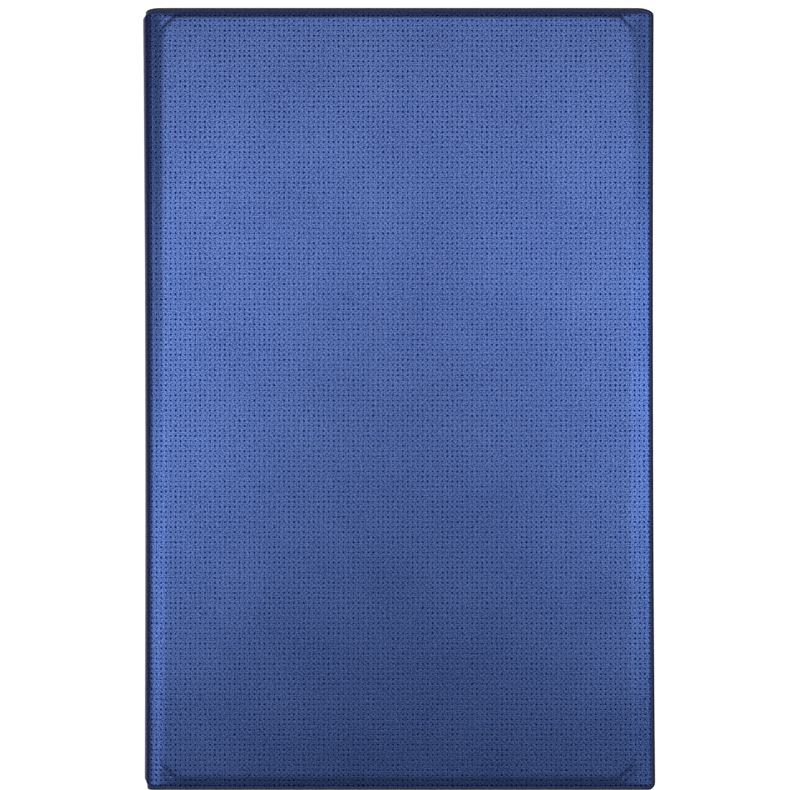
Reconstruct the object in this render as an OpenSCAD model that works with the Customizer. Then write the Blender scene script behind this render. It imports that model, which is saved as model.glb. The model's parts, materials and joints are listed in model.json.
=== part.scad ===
// Tablet keyboard case: a book cover with a tablet tray, a stand flap and a
// wireless keyboard held inside the front cover by magnets.
//
// Frame: millimetres. The closed case lies on its back cover, so +Z points out
// of the front cover, +Y runs along the spine and the spine is at -X.

/* [Tablet that the case holds] */
// Width of the tablet, across the spine
tablet_w = 157.4; // [150:0.2:180]
// Length of the tablet, along the spine
tablet_l = 247.6; // [240:0.2:280]
// Thickness of the tablet
tablet_h = 7.0; // [6:0.1:10]
// Corner radius of the tablet
tablet_r = 8; // [6:0.5:14]

/* [Laminated panels] */
// Thickness of the embossed outer skin
skin_t = 0.9; // [0.7:0.05:1.2]
// Thickness of the stiffening boards
board_t = 1.0; // [0.8:0.05:1.6]
// Thickness of the inner lining
lining_t = 0.6; // [0.4:0.05:0.9]
// Strip of lining that shows all round the skin
trim_w = 0.5; // [0.2:0.05:1]
// Width of the pressed margin along the free edge
free_margin = 8.4; // [7:0.1:12]
// Width of the pressed margin along the spine
spine_margin = 7.5; // [7:0.1:10]
// Width of the pressed margin at the head of the case
head_margin = 3.7; // [3.6:0.1:6]
// Width of the pressed margin at the tail of the case
tail_margin = 5.2; // [3.6:0.1:7]
// Length that the corners of each board are cut back by
board_chamfer = 3.6; // [2:0.1:6]
// Radius over which the free edge rolls down
edge_roll = 1.4; // [0.8:0.1:1.5]
// Radius over which the head and tail edges roll down
end_roll = 1.0; // [0.6:0.1:1.5]
// Corner radius at the head of the free edge
free_head_r = 3.4; // [2:0.2:8]
// Corner radius at the tail of the free edge
free_tail_r = 2.4; // [2:0.2:8]

/* [Spine] */
// Outer radius of the rolls that join the spine to the covers
spine_roll = 3.4; // [3:0.1:4]
// Gap between the inside of the spine and the tray
spine_gap = 1.1; // [0.8:0.1:3]
// Corner radius at the head of the spine
spine_head_r = 3.2; // [2:0.2:5]
// Corner radius at the tail of the spine
spine_tail_r = 2.4; // [2:0.2:5]
// Running clearance round every fold
fold_clear = 0.3; // [0.2:0.05:0.5]

/* [Tray] */
// Wall thickness of the tray
tray_wall = 1.6; // [1.2:0.1:2.4]
// Floor thickness of the tray
tray_floor = 1.2; // [1:0.1:2]
// Thickness of the soft pad on the tray floor
pad_t = 0.3; // [0.2:0.05:0.6]
// Room left round the tablet in the tray
tablet_clear = 0.3; // [0.2:0.05:0.6]
// Room left over the tablet, under the lips
tablet_lift = 0.2; // [0.1:0.05:0.5]
// Thickness of the lips that hold the tablet in
lip_t = 0.9; // [0.7:0.1:1.4]
// Reach of the lips over the tablet
lip_reach = 2.0; // [1:0.1:2.5]
// Overhang of the covers past the tray at the free edge
free_overhang = 2.6; // [2:0.1:5]
// Overhang of the covers past the tray at head and tail
end_overhang = 2.3; // [1.5:0.1:5]
// Thickness of the glue sheet under the tray
glue_t = 0.2; // [0.15:0.05:0.4]
// Edge rounding under the tray
tray_round = 1.0; // [0.6:0.1:1.2]

/* [Camera window] */
// Width of the camera window, across the spine
camera_w = 13; // [9:0.5:20]
// Length of the camera window, along the spine
camera_l = 27; // [20:0.5:40]
// Corner radius of the camera window
camera_r = 3; // [1:0.5:4]
// Distance of the window from the tray's free edge to its middle
camera_in_x = 17; // [14:0.5:22]
// Distance of the window from the tray's head edge to its middle
camera_in_y = 23; // [20:0.5:30]

/* [Tray cut-outs] */
// Width of the notch for the charging plug
charge_notch = 16; // [12:0.5:24]
// Width of the notch for the earphone plug
audio_notch = 9; // [7:0.5:14]
// Distance of the earphone notch from the middle
audio_x = 44; // [30:1:55]
// Length of the notch over the tablet's buttons
button_notch = 56; // [40:1:70]
// Distance of the button notch from the middle
button_y = 66; // [50:1:75]
// Length of each speaker slot
speaker_l = 24; // [12:1:30]
// Height of each speaker slot
speaker_h = 2.6; // [1.6:0.2:3.6]
// Distance of the speaker slots from the middle
speaker_x = 62; // [58:1:64]

/* [Stand flap] */
// Width of the strip that ties the spine to the tray
anchor_w = 14; // [10:0.5:24]
// Cut between the strip and the stand flap
flap_slit = 0.6; // [0.4:0.1:1.5]
// Distance of the stand flap's fold from the tray's free edge
fold_in = 83; // [76:1:90]
// Width of the pressed margin round the stand flap
flap_margin = 5; // [4:0.1:8]
// Diameter of the magnets that hold the stand flap shut
flap_magnet_d = 8; // [5:0.5:10]
// Distance of each flap magnet from the middle
flap_magnet_y = 90; // [40:1:110]

/* [Keyboard] */
// Distance from the ends of the keyboard to the keys
end_margin = 8; // [7:0.1:9]
// Distance from the front edge of the keyboard to the keys
front_margin = 8; // [7:0.1:10]
// Width of the strip behind the function row
strip_w = 12.4; // [12:0.1:16]
// Height of the keyboard, to the top of its border
kb_h = 6.0; // [5.8:0.1:8]
// Corner radius of the keyboard
kb_r = 4; // [3:0.5:6]
// Width of the raised border round the keys
border_w = 3.5; // [3:0.1:4]
// Distance of the keyboard from the middle of the case
kb_x = 2; // [-4:0.5:8]
// Gap between the keyboard and the lining behind it
kb_gap = 0.3; // [0.2:0.05:0.6]
// Gap between the closed keyboard and the tray
close_gap = 0.4; // [0.3:0.1:1.5]
// Thickness of the keyboard's floor
kb_floor = 0.9; // [0.8:0.05:1.2]
// Thickness of the deck that the keys stand in
deck_t = 1.2; // [1:0.1:1.4]
// Side wall thickness of the keyboard
kb_wall = 1.5; // [1.2:0.1:1.8]
// Thickness of the printed contact sheet
circuit_t = 0.25; // [0.15:0.05:0.35]
// Thickness of the base of the dome sheet
dome_base_t = 0.3; // [0.2:0.05:0.4]
// Wall thickness of the silicone domes
dome_wall = 0.35; // [0.3:0.05:0.5]

/* [Keys] */
// Key pitch, both ways
key_pitch = 16; // [15.6:0.05:16.05]
// Gap between neighbouring key caps
key_gap = 2.0; // [1.8:0.05:2.6]
// Pitch of the function row
function_pitch = 9.6; // [9:0.1:10.5]
// Travel of every key
key_travel = 1.3; // [0.8:0.05:1.4]
// Height of the key caps over the deck
key_rise = 1.3; // [1.3:0.05:1.6]
// Corner radius of the key caps
key_r = 1.4; // [0.8:0.1:2]
// Bevel along the top edges of the key caps
key_bevel = 0.35; // [0.15:0.05:0.5]
// Clearance between a key cap and its opening
key_clear = 0.25; // [0.15:0.05:0.35]
// Reach of the rim that keeps a cap under the deck
key_rim = 0.6; // [0.5:0.05:0.7]
// Thickness of that rim
key_rim_t = 0.4; // [0.3:0.05:0.5]

/* [Switch and charging socket] */
// Length of the power switch knob
switch_l = 4; // [3:0.5:6]
// Travel of the power switch
switch_travel = 2.5; // [1.5:0.1:3]
// Distance of the power switch from the end of the keyboard
switch_in = 26; // [22:1:30]
// Width of the charging socket
socket_w = 7.6; // [7.4:0.1:9]
// Height of the charging socket
socket_h = 2.4; // [2.2:0.1:2.5]

/* [Hidden] */
$fn = 48;

big = 400;           // longer than anything in the case
cut = 0.5;           // how far a cutting tool runs past a face
fit = 0.1;           // clearance round a part that sits in a pocket
close_fit = 0.02;    // clearance round a part that is pressed in

// ---- Panels: skin, board and lining, stacked inwards from the outer face
panel_t = skin_t + board_t + lining_t;
rim_drop = board_t;            // the pressed margins have no board in them
margin_t = skin_t + lining_t;  // so they are this thick
free_roll = min(edge_roll, margin_t);
head_roll = min(end_roll, margin_t);

// ---- Plan of the case
tray_w = tablet_w + 2 * tablet_clear + 2 * tray_wall;
tray_l = tablet_l + 2 * tablet_clear + 2 * tray_wall;
case_w = panel_t + spine_gap + tray_w + free_overhang;
case_l = tray_l + 2 * end_overhang;
spine_x = -case_w / 2;
free_x = case_w / 2;
tray_x0 = spine_x + panel_t + spine_gap;
tray_x1 = tray_x0 + tray_w;
tray_xc = (tray_x0 + tray_x1) / 2;
head_y = case_l / 2;
tail_y = -case_l / 2;

no_corners = [0, 0, 0, 0];
square_corners = [1, 1, 1, 1];
free_corners = [0, free_tail_r, free_head_r, 0];

// ---- Heights, from the table up
tray_z = panel_t + glue_t;
tray_floor_z = tray_z + tray_floor;
seat_z = tray_floor_z + pad_t;
bay_top_z = seat_z + tablet_h + tablet_lift;
tray_top_z = bay_top_z + lip_t;
key_top_z = tray_top_z + close_gap;
kb_back_z = key_top_z + kb_h;
cover_in_z = kb_back_z + kb_gap;
case_h = cover_in_z + panel_t;

// ---- Folds, as x and z. Each roll of the spine bends about its centre while
// the case is shut. The skin keeps its length, so the cover turns about the
// middle of the roll's outer face as the case is opened.
back_roll = [spine_x + spine_roll, rim_drop + spine_roll];
front_roll = [spine_x + spine_roll, case_h - rim_drop - spine_roll];
flap_fold = [tray_x1 - fold_in, rim_drop];
fold_relief = spine_roll + fold_clear;
flap_relief = margin_t + fold_clear;
roll_overlap = 23;   // degrees that a roll runs on under the next panel

// ---- Stand flap
anchor_x1 = tray_x0 + anchor_w;
flap_x0 = anchor_x1 + flap_slit;
flap_slope = 2;      // width of the slope from margin to raised panel
side_slope = 6;
spine_slope = 3.6;
end_slope = 2;

// ---- Keyboard heights, from its back face
deck_top = kb_h - key_rise;
deck_under = deck_top - deck_t;
rim_top = deck_under - fit;
rim_under = rim_top - key_rim_t;
sheet_z = kb_floor + circuit_t;
dome_z = sheet_z + dome_base_t;
lip_wall = 1.0;      // inner lip of the bottom case
split_z = kb_floor + fit;
floor_lip_h = 1.4;
stem_r = 1.9;
dome_r = 2.7;

// ---- Key rows: each key is [place in units from the left, width in units]
row_units = 14.5;
row_count = 5;
row_l = row_units * key_pitch;
kb_l = row_l + 2 * end_margin;
kb_d = front_margin + row_count * key_pitch + function_pitch + strip_w;
rows_v0 = -kb_d / 2 + front_margin;
// the function keys are whole tenths of a millimetre wide, and the escape key
// takes what is left of the row
function_count = 12;
function_w = floor(10 * row_l / (function_count + 1)) / 10;
function_unit = function_w / key_pitch;
escape_unit = row_units - function_count * function_unit;
function keys_from(start, count, unit = 1) =
    [for (i = [0:count - 1]) [start + i * unit, unit]];
bottom_row_units = [1, 1, 1, 1.25, 5, 1.25, 1, 1, 1, 1];
function sum_to(list, n) = n == 0 ? 0 : list[n - 1] + sum_to(list, n - 1);
function bottom_key(n) =
    [sum_to(bottom_row_units, n), bottom_row_units[n]];

backspace_units = [13, 1.5];
tab_units = [0, 1.5];
backslash_units = [13.5, 1];
caps_units = [0, 1.75];
enter_units = [12.75, 1.75];
left_shift_units = [0, 2.25];
right_shift_units = [12.25, 2.25];

// A key is [u, v, width, depth] in the keyboard's own frame
function place(key, row) = [
    (key[0] + key[1] / 2) * key_pitch - row_l / 2,
    rows_v0 + (row + 0.5) * key_pitch,
    key[1] * key_pitch - key_gap,
    key_pitch - key_gap
];
function place_function(key) = [
    place(key, 0)[0],
    rows_v0 + row_count * key_pitch + function_pitch / 2,
    key[1] * key_pitch - key_gap,
    function_pitch - key_gap
];
function place_half(key, upper) = [
    place(key, 0)[0],
    rows_v0 + (upper ? 0.75 : 0.25) * key_pitch,
    key[1] * key_pitch - key_gap,
    key_pitch / 2 - key_gap
];
function places(keys, row) = [for (k = keys) place(k, row)];

function_row = [
    for (k = keys_from(escape_unit, function_count, function_unit))
        place_function(k)
];
number_row = places(keys_from(0, 13), 4);
upper_row = places(keys_from(tab_units[1], 12), 3);
home_row = places(keys_from(caps_units[1], 11), 2);
lower_row = places(keys_from(left_shift_units[1], 10), 1);
escape_place = [place_function([0, escape_unit])];
backspace_place = [place(backspace_units, 4)];
tab_place = [place(tab_units, 3)];
backslash_place = [place(backslash_units, 3)];
caps_place = [place(caps_units, 2)];
enter_place = [place(enter_units, 2)];
left_shift_place = [place(left_shift_units, 1)];
right_shift_place = [place(right_shift_units, 1)];
fn_place = [place(bottom_key(0), 0)];
control_place = [place(bottom_key(1), 0)];
left_alt_place = [place(bottom_key(2), 0)];
left_menu_place = [place(bottom_key(3), 0)];
space_place = [place(bottom_key(4), 0)];
right_menu_place = [place(bottom_key(5), 0)];
right_alt_place = [place(bottom_key(6), 0)];
left_arrow_place = [place(bottom_key(7), 0)];
up_arrow_place = [place_half(bottom_key(8), true)];
down_arrow_place = [place_half(bottom_key(8), false)];
right_arrow_place = [place(bottom_key(9), 0)];
all_keys = concat(
    function_row, number_row, upper_row, home_row, lower_row,
    escape_place, backspace_place, tab_place, backslash_place, caps_place,
    enter_place, left_shift_place, right_shift_place, fn_place,
    control_place, left_alt_place, left_menu_place, space_place,
    right_menu_place, right_alt_place, left_arrow_place, up_arrow_place,
    down_arrow_place, right_arrow_place
);

// ---- What lies round the keys: the strip behind them holds the cell, the
// magnets, the screws and the board
strip_v0 = rows_v0 + row_count * key_pitch + function_pitch;
cavity_gap = kb_wall + lip_wall + 2 * fit;
strip_v1 = kb_d / 2 - cavity_gap;
strip_v = (strip_v0 + strip_v1) / 2;
inner_u = kb_l / 2 - cavity_gap;
field_gap = 0.4;     // from the keys' own field to the parts round it
inner_gap = 1;       // between the parts in the strip
magnet_l = 24;
magnet_w = 2.2;
magnet_h = 1.3;
near_magnet_v = -kb_d / 2 + cavity_gap + magnet_w / 2;
far_magnet_v = strip_v1 - magnet_w / 2 - fit;
controller_l = 46;
controller_w = strip_v1 - strip_v0 - 2 * field_gap;
controller_t = 0.7;
controller_r = 1.5;
controller_u = inner_u - controller_l / 2 - fit;
magnet_u = inner_u - controller_l - inner_gap - magnet_l / 2;
boss_r = 1.6;
screw_head_r = 1.3;
screw_r = 0.7;
screw_head_h = 0.5;
screw_l = 2.2;
screw_v = strip_v1 - boss_r;
end_screw_u = inner_u - boss_r - 4;
battery_l = 84;
battery_w = far_magnet_v - magnet_w / 2 - strip_v0 - field_gap;
battery_h = 2.2;
battery_r = 0.8;
battery_u0 = -end_screw_u + boss_r + inner_gap;
middle_screw_u = battery_u0 + battery_l + boss_r + inner_gap;
right_screw_u = magnet_u - magnet_l / 2 - boss_r - inner_gap;
screw_us = [-end_screw_u, middle_screw_u, right_screw_u];
pad_r = 5;
pad_recess = 0.3;
pad_h = 0.5;
pad_in = 20;         // from the keyboard's edges to the middle of each pad
light_pitch = 6;
light_r = 0.8;
light_drop = 0.8;    // reach of each light pipe under the deck
light_us = [for (i = [-1:1]) controller_u + i * light_pitch];
socket_d = 5;
socket_wall = 0.3;
socket_inset = 0.3;
socket_z = kb_floor + controller_t;
switch_u = kb_l / 2 - switch_in;
switch_v = kb_d / 2;
knob_out = 0.7;
knob_h = 1.4;
knob_z = 2.2;

// ================================================================ helpers

// Extrudes an x,z profile along the spine, centred
module along_y(length) {
    rotate([90, 0, 0]) linear_extrude(height = length, center = true) children();
}

// Extrudes a y,z profile across the spine, centred
module along_x(length) {
    rotate([90, 0, 90]) linear_extrude(height = length, center = true) children();
}

// A rectangle with round corners, centred
module round_rect(w, l, r) {
    square([w - 2 * r, l], center = true);
    square([w, l - 2 * r], center = true);
    for (x = [-1, 1], y = [-1, 1])
        translate([x * (w / 2 - r), y * (l / 2 - r)]) circle(r);
}

// A slab with round corners, standing on z = 0
module round_slab(w, l, r, h) {
    linear_extrude(height = h) round_rect(w, l, r);
}

// The part of a ring between two angles
module ring_sector(r_in, r_out, from, to) {
    steps = 4;
    reach = 2 * r_out;
    intersection() {
        difference() {
            circle(r_out);
            circle(r_in);
        }
        polygon(concat([[0, 0]], [for (i = [0:steps])
            let (a = from + (to - from) * i / steps)
            [reach * cos(a), reach * sin(a)]]));
    }
}

// The corners of a plan, in order round it from the tail at x0. Each is its
// point, the directions of the sides that meet there, and its size
function corners(x0, x1, y0, y1, r) = [
    [[x0, y0], [0, 1], [1, 0], r[0]],
    [[x1, y0], [-1, 0], [0, 1], r[1]],
    [[x1, y1], [0, -1], [-1, 0], r[2]],
    [[x0, y1], [1, 0], [0, -1], r[3]]
];

// A plan whose corners are cut off straight
module cut_plan(x0, x1, y0, y1, r) {
    polygon([for (k = corners(x0, x1, y0, y1, r))
        each k[3] > 0 ? [k[0] + k[1] * k[3], k[0] + k[2] * k[3]] : [k[0]]]);
}

// A plan whose corners are round
module plan(x0, x1, y0, y1, r) {
    cut_plan(x0, x1, y0, y1, r);
    for (k = corners(x0, x1, y0, y1, r)) if (k[3] > 0)
        translate(k[0] + (k[1] + k[2]) * k[3]) circle(k[3]);
}

// Section of a margin: from a0 to a1, with its outer corners rolled
module rolled_section(a0, a1, r0, r1) {
    intersection() {
        translate([a0, rim_drop]) square([a1 - a0, margin_t]);
        union() {
            translate([a0 + r0, rim_drop]) square([a1 - r1 - a0 - r0, big]);
            for (side = [[a0, r0, 1], [a1, r1, -1]]) if (side[1] > 0) {
                translate([side[0] + side[2] * side[1], rim_drop + side[1]])
                    circle(side[1]);
                translate([side[2] > 0 ? side[0] : side[0] - side[1],
                    rim_drop + side[1]]) square([side[1], big]);
            }
        }
    }
}

// The pressed laminate of a panel, from its outer face at the margins to the
// lining's inner face. roll is [at x0, at x1].
module pressed_slab(x0, x1, roll, corner, inset0, inset1) {
    a0 = x0 + inset0;
    a1 = x1 - inset1;
    b0 = tail_y + inset1;
    b1 = head_y - inset1;
    intersection() {
        along_y(big) rolled_section(a0, a1, roll[0], roll[1]);
        along_x(big) rolled_section(b0, b1, head_roll, head_roll);
        linear_extrude(height = panel_t)
            plan(a0, a1, b0, b1, corner);
    }
}

// Outline of a board, [x0, x1, y0, y1], with its corners cut back
module board_outline(b) {
    cut_plan(b[0], b[1], b[2], b[3], board_chamfer * square_corners);
}

// The raised field that a board presses into the skin, outer face at z = 0
module raised_field(b, slope0, slope1) {
    cx = (b[0] + b[1]) / 2;
    cy = (b[2] + b[3]) / 2;
    half_diagonal = ((b[1] - b[0]) + (b[3] - b[2]) - 2 * board_chamfer)
        / 2 / sqrt(2);
    intersection() {
        along_y(big) polygon([
            [b[0], 0], [b[1], 0],
            [b[1] + slope1, rim_drop], [b[0] - slope0, rim_drop]
        ]);
        along_x(big) polygon([
            [b[2], 0], [b[3], 0],
            [b[3] + end_slope, rim_drop], [b[2] - end_slope, rim_drop]
        ]);
        for (a = [-45, 45]) translate([cx, cy, 0]) rotate([0, 0, a])
            along_y(big) polygon([
                [-half_diagonal, 0], [half_diagonal, 0],
                [half_diagonal + end_slope, rim_drop],
                [-half_diagonal - end_slope, rim_drop]
            ]);
    }
}

// Skin of a panel: the pressed margins and the raised field over the board
module panel_skin(x0, x1, board, roll, corner, inset0, slope0, slope1) {
    difference() {
        union() {
            intersection() {
                pressed_slab(x0, x1, roll, corner, inset0, trim_w);
                linear_extrude(height = skin_t + rim_drop)
                    square(2 * big, center = true);
            }
            intersection() {
                raised_field(board, slope0, slope1);
                linear_extrude(height = panel_t)
                    plan(x0, x1, tail_y, head_y, no_corners);
            }
        }
        translate([0, 0, skin_t]) linear_extrude(height = panel_t)
            board_outline(board);
    }
}

module panel_board(board) {
    translate([0, 0, skin_t]) linear_extrude(height = board_t)
        board_outline(board);
}

module panel_lining(x0, x1, roll, corner) {
    intersection() {
        pressed_slab(x0, x1, roll, corner, 0, 0);
        translate([-big, -big, skin_t + board_t]) cube([2 * big, 2 * big, panel_t]);
    }
}

// Turns a panel drawn outer face down into the front cover
module front_side() {
    translate([0, 0, case_h]) mirror([0, 0, 1]) children();
}

// Clears the round room that a fold needs; centre is [x, z]
module fold_room(centre, r) {
    along_y(2 * big) translate(centre) circle(r);
}

// Keeps what lies inside the rounded ends of the spine
module spine_ends() {
    intersection() {
        children();
        linear_extrude(height = case_h)
            plan(spine_x, free_x, tail_y, head_y,
                [spine_tail_r, 0, 0, spine_head_r]);
    }
}

// Puts the keyboard's own frame in the closed case: u runs to the user's
// right, v away from the user and w out of the keys
module keyboard_frame() {
    translate([kb_x, 0, kb_back_z]) rotate(a = 180, v = [1, -1, 0]) children();
}

// ================================================================ front cover

front_board = [spine_x + spine_margin, free_x - free_margin,
    tail_y + tail_margin, head_y - head_margin];
front_x0 = front_roll[0];

// Where the keyboard's magnets and the cover's magnets face each other
module at_magnets() {
    for (u = [-magnet_u, magnet_u], v = [near_magnet_v, far_magnet_v])
        translate([kb_x - v, -u, 0]) children();
}

module magnet_bar(grow, h) {
    linear_extrude(height = h)
        square([magnet_w + 2 * grow, magnet_l + 2 * grow], center = true);
}

sleep_magnet_at = [front_board[1] - 6, -60];
sleep_magnet_r = 3;

module front_cover_skin() {
    color("#4e64a2") front_side() difference() {
        panel_skin(front_x0, free_x, front_board, [0, free_roll],
            free_corners, 0, spine_slope, side_slope);
        fold_room(back_roll, fold_relief);
    }
}

module front_cover_board() {
    color("#3a3a3c") front_side() difference() {
        panel_board(front_board);
        translate([0, 0, skin_t - cut]) {
            at_magnets() magnet_bar(fit, board_t + 2 * cut);
            translate(sleep_magnet_at) cylinder(
                r = sleep_magnet_r + fit, h = board_t + 2 * cut);
        }
    }
}

module front_cover_lining() {
    color("#1b1b1e") front_side() difference() {
        panel_lining(front_x0, free_x, [0, free_roll], free_corners);
        fold_room(back_roll, fold_relief);
    }
}

module cover_magnets() {
    color("#b9bcc0") front_side() translate([0, 0, skin_t])
        at_magnets() magnet_bar(0, board_t);
}

module sleep_magnet() {
    color("#b9bcc0") front_side() translate([0, 0, skin_t])
        translate(sleep_magnet_at) cylinder(r = sleep_magnet_r, h = board_t);
}

// ================================================================ spine

// The board leaves both folds free to bend
spine_board_z0 = back_roll[1] + fold_relief;
spine_board_z1 = front_roll[1] - spine_roll;
lining_r = spine_roll - skin_t;
lining_ri = lining_r - lining_t;

module spine_skin() {
    color("#4e64a2") spine_ends() along_y(case_l) difference() {
        union() {
            translate(front_roll)
                ring_sector(lining_r, spine_roll, 90 - roll_overlap, 180);
            translate([spine_x, back_roll[1]])
                square([skin_t, front_roll[1] - back_roll[1]]);
        }
        translate(back_roll) circle(fold_relief);
    }
}

module spine_board() {
    color("#3a3a3c") translate([spine_x + skin_t, 0, spine_board_z0])
        along_y(case_l - head_margin - tail_margin)
            square([board_t, spine_board_z1 - spine_board_z0]);
}

module spine_lining() {
    inner_x = spine_x + skin_t + board_t;
    color("#1b1b1e") spine_ends() along_y(case_l - 2 * trim_w) difference() {
        union() {
            translate(front_roll)
                ring_sector(lining_ri, lining_r, 90 - roll_overlap, 180);
            translate([inner_x, spine_board_z0])
                square([lining_t, spine_board_z1 - spine_board_z0]);
            // the lining steps from the board to the skin at the fold
            polygon([
                [inner_x, spine_board_z1], [inner_x + lining_t, spine_board_z1],
                [spine_x + spine_roll - lining_ri, front_roll[1]],
                [spine_x + skin_t, front_roll[1]]
            ]);
        }
        translate(back_roll) circle(fold_relief);
    }
}

// ================================================================ back cover

back_board = [flap_fold[0] + flap_margin, free_x - free_margin,
    tail_y + tail_margin, head_y - head_margin];

camera_at = [tray_x1 - camera_in_x, tray_l / 2 - camera_in_y];

module camera_window(grow = 0) {
    translate([camera_at[0], camera_at[1], -cut])
        round_slab(camera_w + 2 * grow, camera_l + 2 * grow,
            camera_r + grow, case_h);
}

module back_cover_skin() {
    color("#4e64a2") difference() {
        union() {
            panel_skin(flap_fold[0], free_x, back_board, [0, free_roll],
                free_corners, 0, flap_slope, side_slope);
            // bent edge of the skin at the stand flap's fold
            along_y(case_l - 2 * head_roll) translate(flap_fold)
                ring_sector(0, skin_t, 90, 180);
        }
        camera_window();
    }
}

module back_cover_board() {
    color("#3a3a3c") difference() {
        panel_board(back_board);
        camera_window(0.5);
    }
}

module back_cover_lining() {
    color("#1b1b1e") difference() {
        union() {
            panel_lining(flap_fold[0], free_x, [0, free_roll], free_corners);
            along_y(case_l - 2 * head_roll) translate(flap_fold)
                ring_sector(skin_t, margin_t, 90, 180);
        }
        camera_window();
    }
}

module anchor_strip_skin() {
    color("#4e64a2") spine_ends() along_y(case_l) {
        translate(back_roll)
            ring_sector(lining_r, spine_roll, 180 - roll_overlap, 270);
        translate([back_roll[0], rim_drop])
            square([anchor_x1 - back_roll[0], skin_t]);
    }
}

module anchor_strip_lining() {
    color("#1b1b1e") spine_ends() along_y(case_l - 2 * trim_w) {
        translate(back_roll)
            ring_sector(lining_ri, lining_r, 180 - roll_overlap, 270);
        translate([back_roll[0], rim_drop + skin_t])
            square([anchor_x1 - back_roll[0], lining_t]);
    }
}

// ================================================================ tray

glue_inset = 4;

module tray_glue_sheet() {
    glue_l = tray_l - 2 * glue_inset;
    color("#c9c5b6") translate([0, 0, panel_t]) {
        difference() {
            linear_extrude(height = glue_t)
                plan(flap_fold[0] + flap_margin, tray_x1 - glue_inset,
                    -glue_l / 2, glue_l / 2, no_corners);
            translate([0, 0, -panel_t]) camera_window(1);
        }
        linear_extrude(height = glue_t)
            plan(tray_x0 + glue_inset, anchor_x1 - 1, -glue_l / 2, glue_l / 2,
                no_corners);
    }
}

// Section of the tray's outside: square at the top, round at the bottom
module tray_section(half) {
    translate([-half, tray_z + tray_round])
        square([2 * half, tray_top_z - tray_z - tray_round]);
    translate([tray_round - half, tray_z])
        square([2 * (half - tray_round), tray_top_z - tray_z]);
    for (s = [-1, 1]) translate([s * (half - tray_round), tray_z + tray_round])
        circle(tray_round);
}

module tray_outside() {
    r = tablet_r + tablet_clear + tray_wall;
    intersection() {
        translate([tray_xc, 0, 0]) along_y(big) tray_section(tray_w / 2);
        along_x(big) tray_section(tray_l / 2);
        translate([tray_xc, 0, 0]) round_slab(tray_w, tray_l, r, case_h);
    }
}

notch_z = seat_z + 1;

// A notch through the wall from notch_z up, at x,y, of size sx by sy
module wall_notch(x, y, sx, sy) {
    translate([x - sx / 2, y - sy / 2, notch_z]) cube([sx, sy, case_h]);
}

module speaker_slot(x, y) {
    middle_z = (seat_z + bay_top_z) / 2;
    translate([x - speaker_l / 2, y - 2 * tray_wall, middle_z - speaker_h / 2])
        cube([speaker_l, 4 * tray_wall, speaker_h]);
}

module keeper_pockets(grow, z, h) {
    for (y = [-flap_magnet_y, flap_magnet_y])
        translate([flap_magnet_x, y, z])
            cylinder(d = flap_magnet_d + 2 * grow, h = h);
}

flap_magnet_x = flap_x0 + flap_margin + flap_magnet_d / 2 + 3;
keeper_h = 0.6;

module tablet_tray() {
    bay_w = tablet_w + 2 * tablet_clear;
    bay_l = tablet_l + 2 * tablet_clear;
    mouth_w = tablet_w - 2 * lip_reach;
    mouth_l = tablet_l - 2 * lip_reach;
    rim_w = tray_wall + tablet_clear + lip_reach + cut;
    lip_gap = 2 * (tablet_r + 30);
    color("#26272b") difference() {
        tray_outside();
        translate([tray_xc, 0, tray_floor_z]) {
            round_slab(bay_w, bay_l, tablet_r + tablet_clear,
                bay_top_z - tray_floor_z);
            round_slab(mouth_w, mouth_l, tablet_r - lip_reach, case_h);
        }
        // the lip along the free edge is left out between the corners, so
        // that the tablet can be pressed in
        translate([tray_x1 - tray_wall - tablet_r, lip_gap / 2 - tray_l / 2,
            bay_top_z]) cube([tablet_r, tray_l - lip_gap, case_h]);
        wall_notch(0, -tray_l / 2, charge_notch, 2 * rim_w);
        wall_notch(audio_x, tray_l / 2, audio_notch, 2 * rim_w);
        wall_notch(tray_x1, -button_y, 2 * rim_w, button_notch);
        for (y = [-tray_l / 2, tray_l / 2], x = [-speaker_x, speaker_x])
            if (!(y > 0 && x > 0)) speaker_slot(x, y);
        camera_window();
        keeper_pockets(fit, tray_z - cut, keeper_h + cut);
    }
}

module tray_pad() {
    inset = tablet_clear + 3;
    color("#3b3c42") difference() {
        translate([tray_xc, 0, tray_floor_z])
            round_slab(tablet_w - 2 * inset, tablet_l - 2 * inset,
                tablet_r - 3, pad_t);
        camera_window(1);
    }
}

module flap_keeper_plates() {
    color("#a7a9ad") keeper_pockets(0, tray_z, keeper_h);
}

// ================================================================ stand flap

flap_board = [flap_x0 + flap_margin, flap_fold[0] - flap_margin,
    tail_y + tail_margin, head_y - head_margin];

module stand_flap_skin() {
    color("#4e64a2") difference() {
        panel_skin(flap_x0, flap_fold[0], flap_board, [0, 0], no_corners, trim_w,
            flap_slope, flap_slope);
        fold_room(flap_fold, flap_relief);
    }
}

module stand_flap_board() {
    color("#3a3a3c") difference() {
        panel_board(flap_board);
        keeper_pockets(fit, skin_t - cut, board_t + 2 * cut);
    }
}

module stand_flap_lining() {
    color("#1b1b1e") difference() {
        panel_lining(flap_x0, flap_fold[0], [0, 0], no_corners);
        fold_room(flap_fold, flap_relief);
    }
}

module stand_flap_magnets() {
    color("#b9bcc0") keeper_pockets(0, skin_t, board_t);
}

// ================================================================ keyboard

module screw_places() {
    for (u = screw_us) translate([u, screw_v, 0]) children();
}

module pad_places() {
    for (u = [-1, 1], v = [-1, 1]) translate([u * (kb_l / 2 - pad_in),
        v * (kb_d / 2 - pad_in), 0]) children();
}

module bottom_magnet_places() {
    for (u = [-magnet_u, magnet_u], v = [near_magnet_v, far_magnet_v])
        translate([u, v, 0]) children();
}

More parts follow.
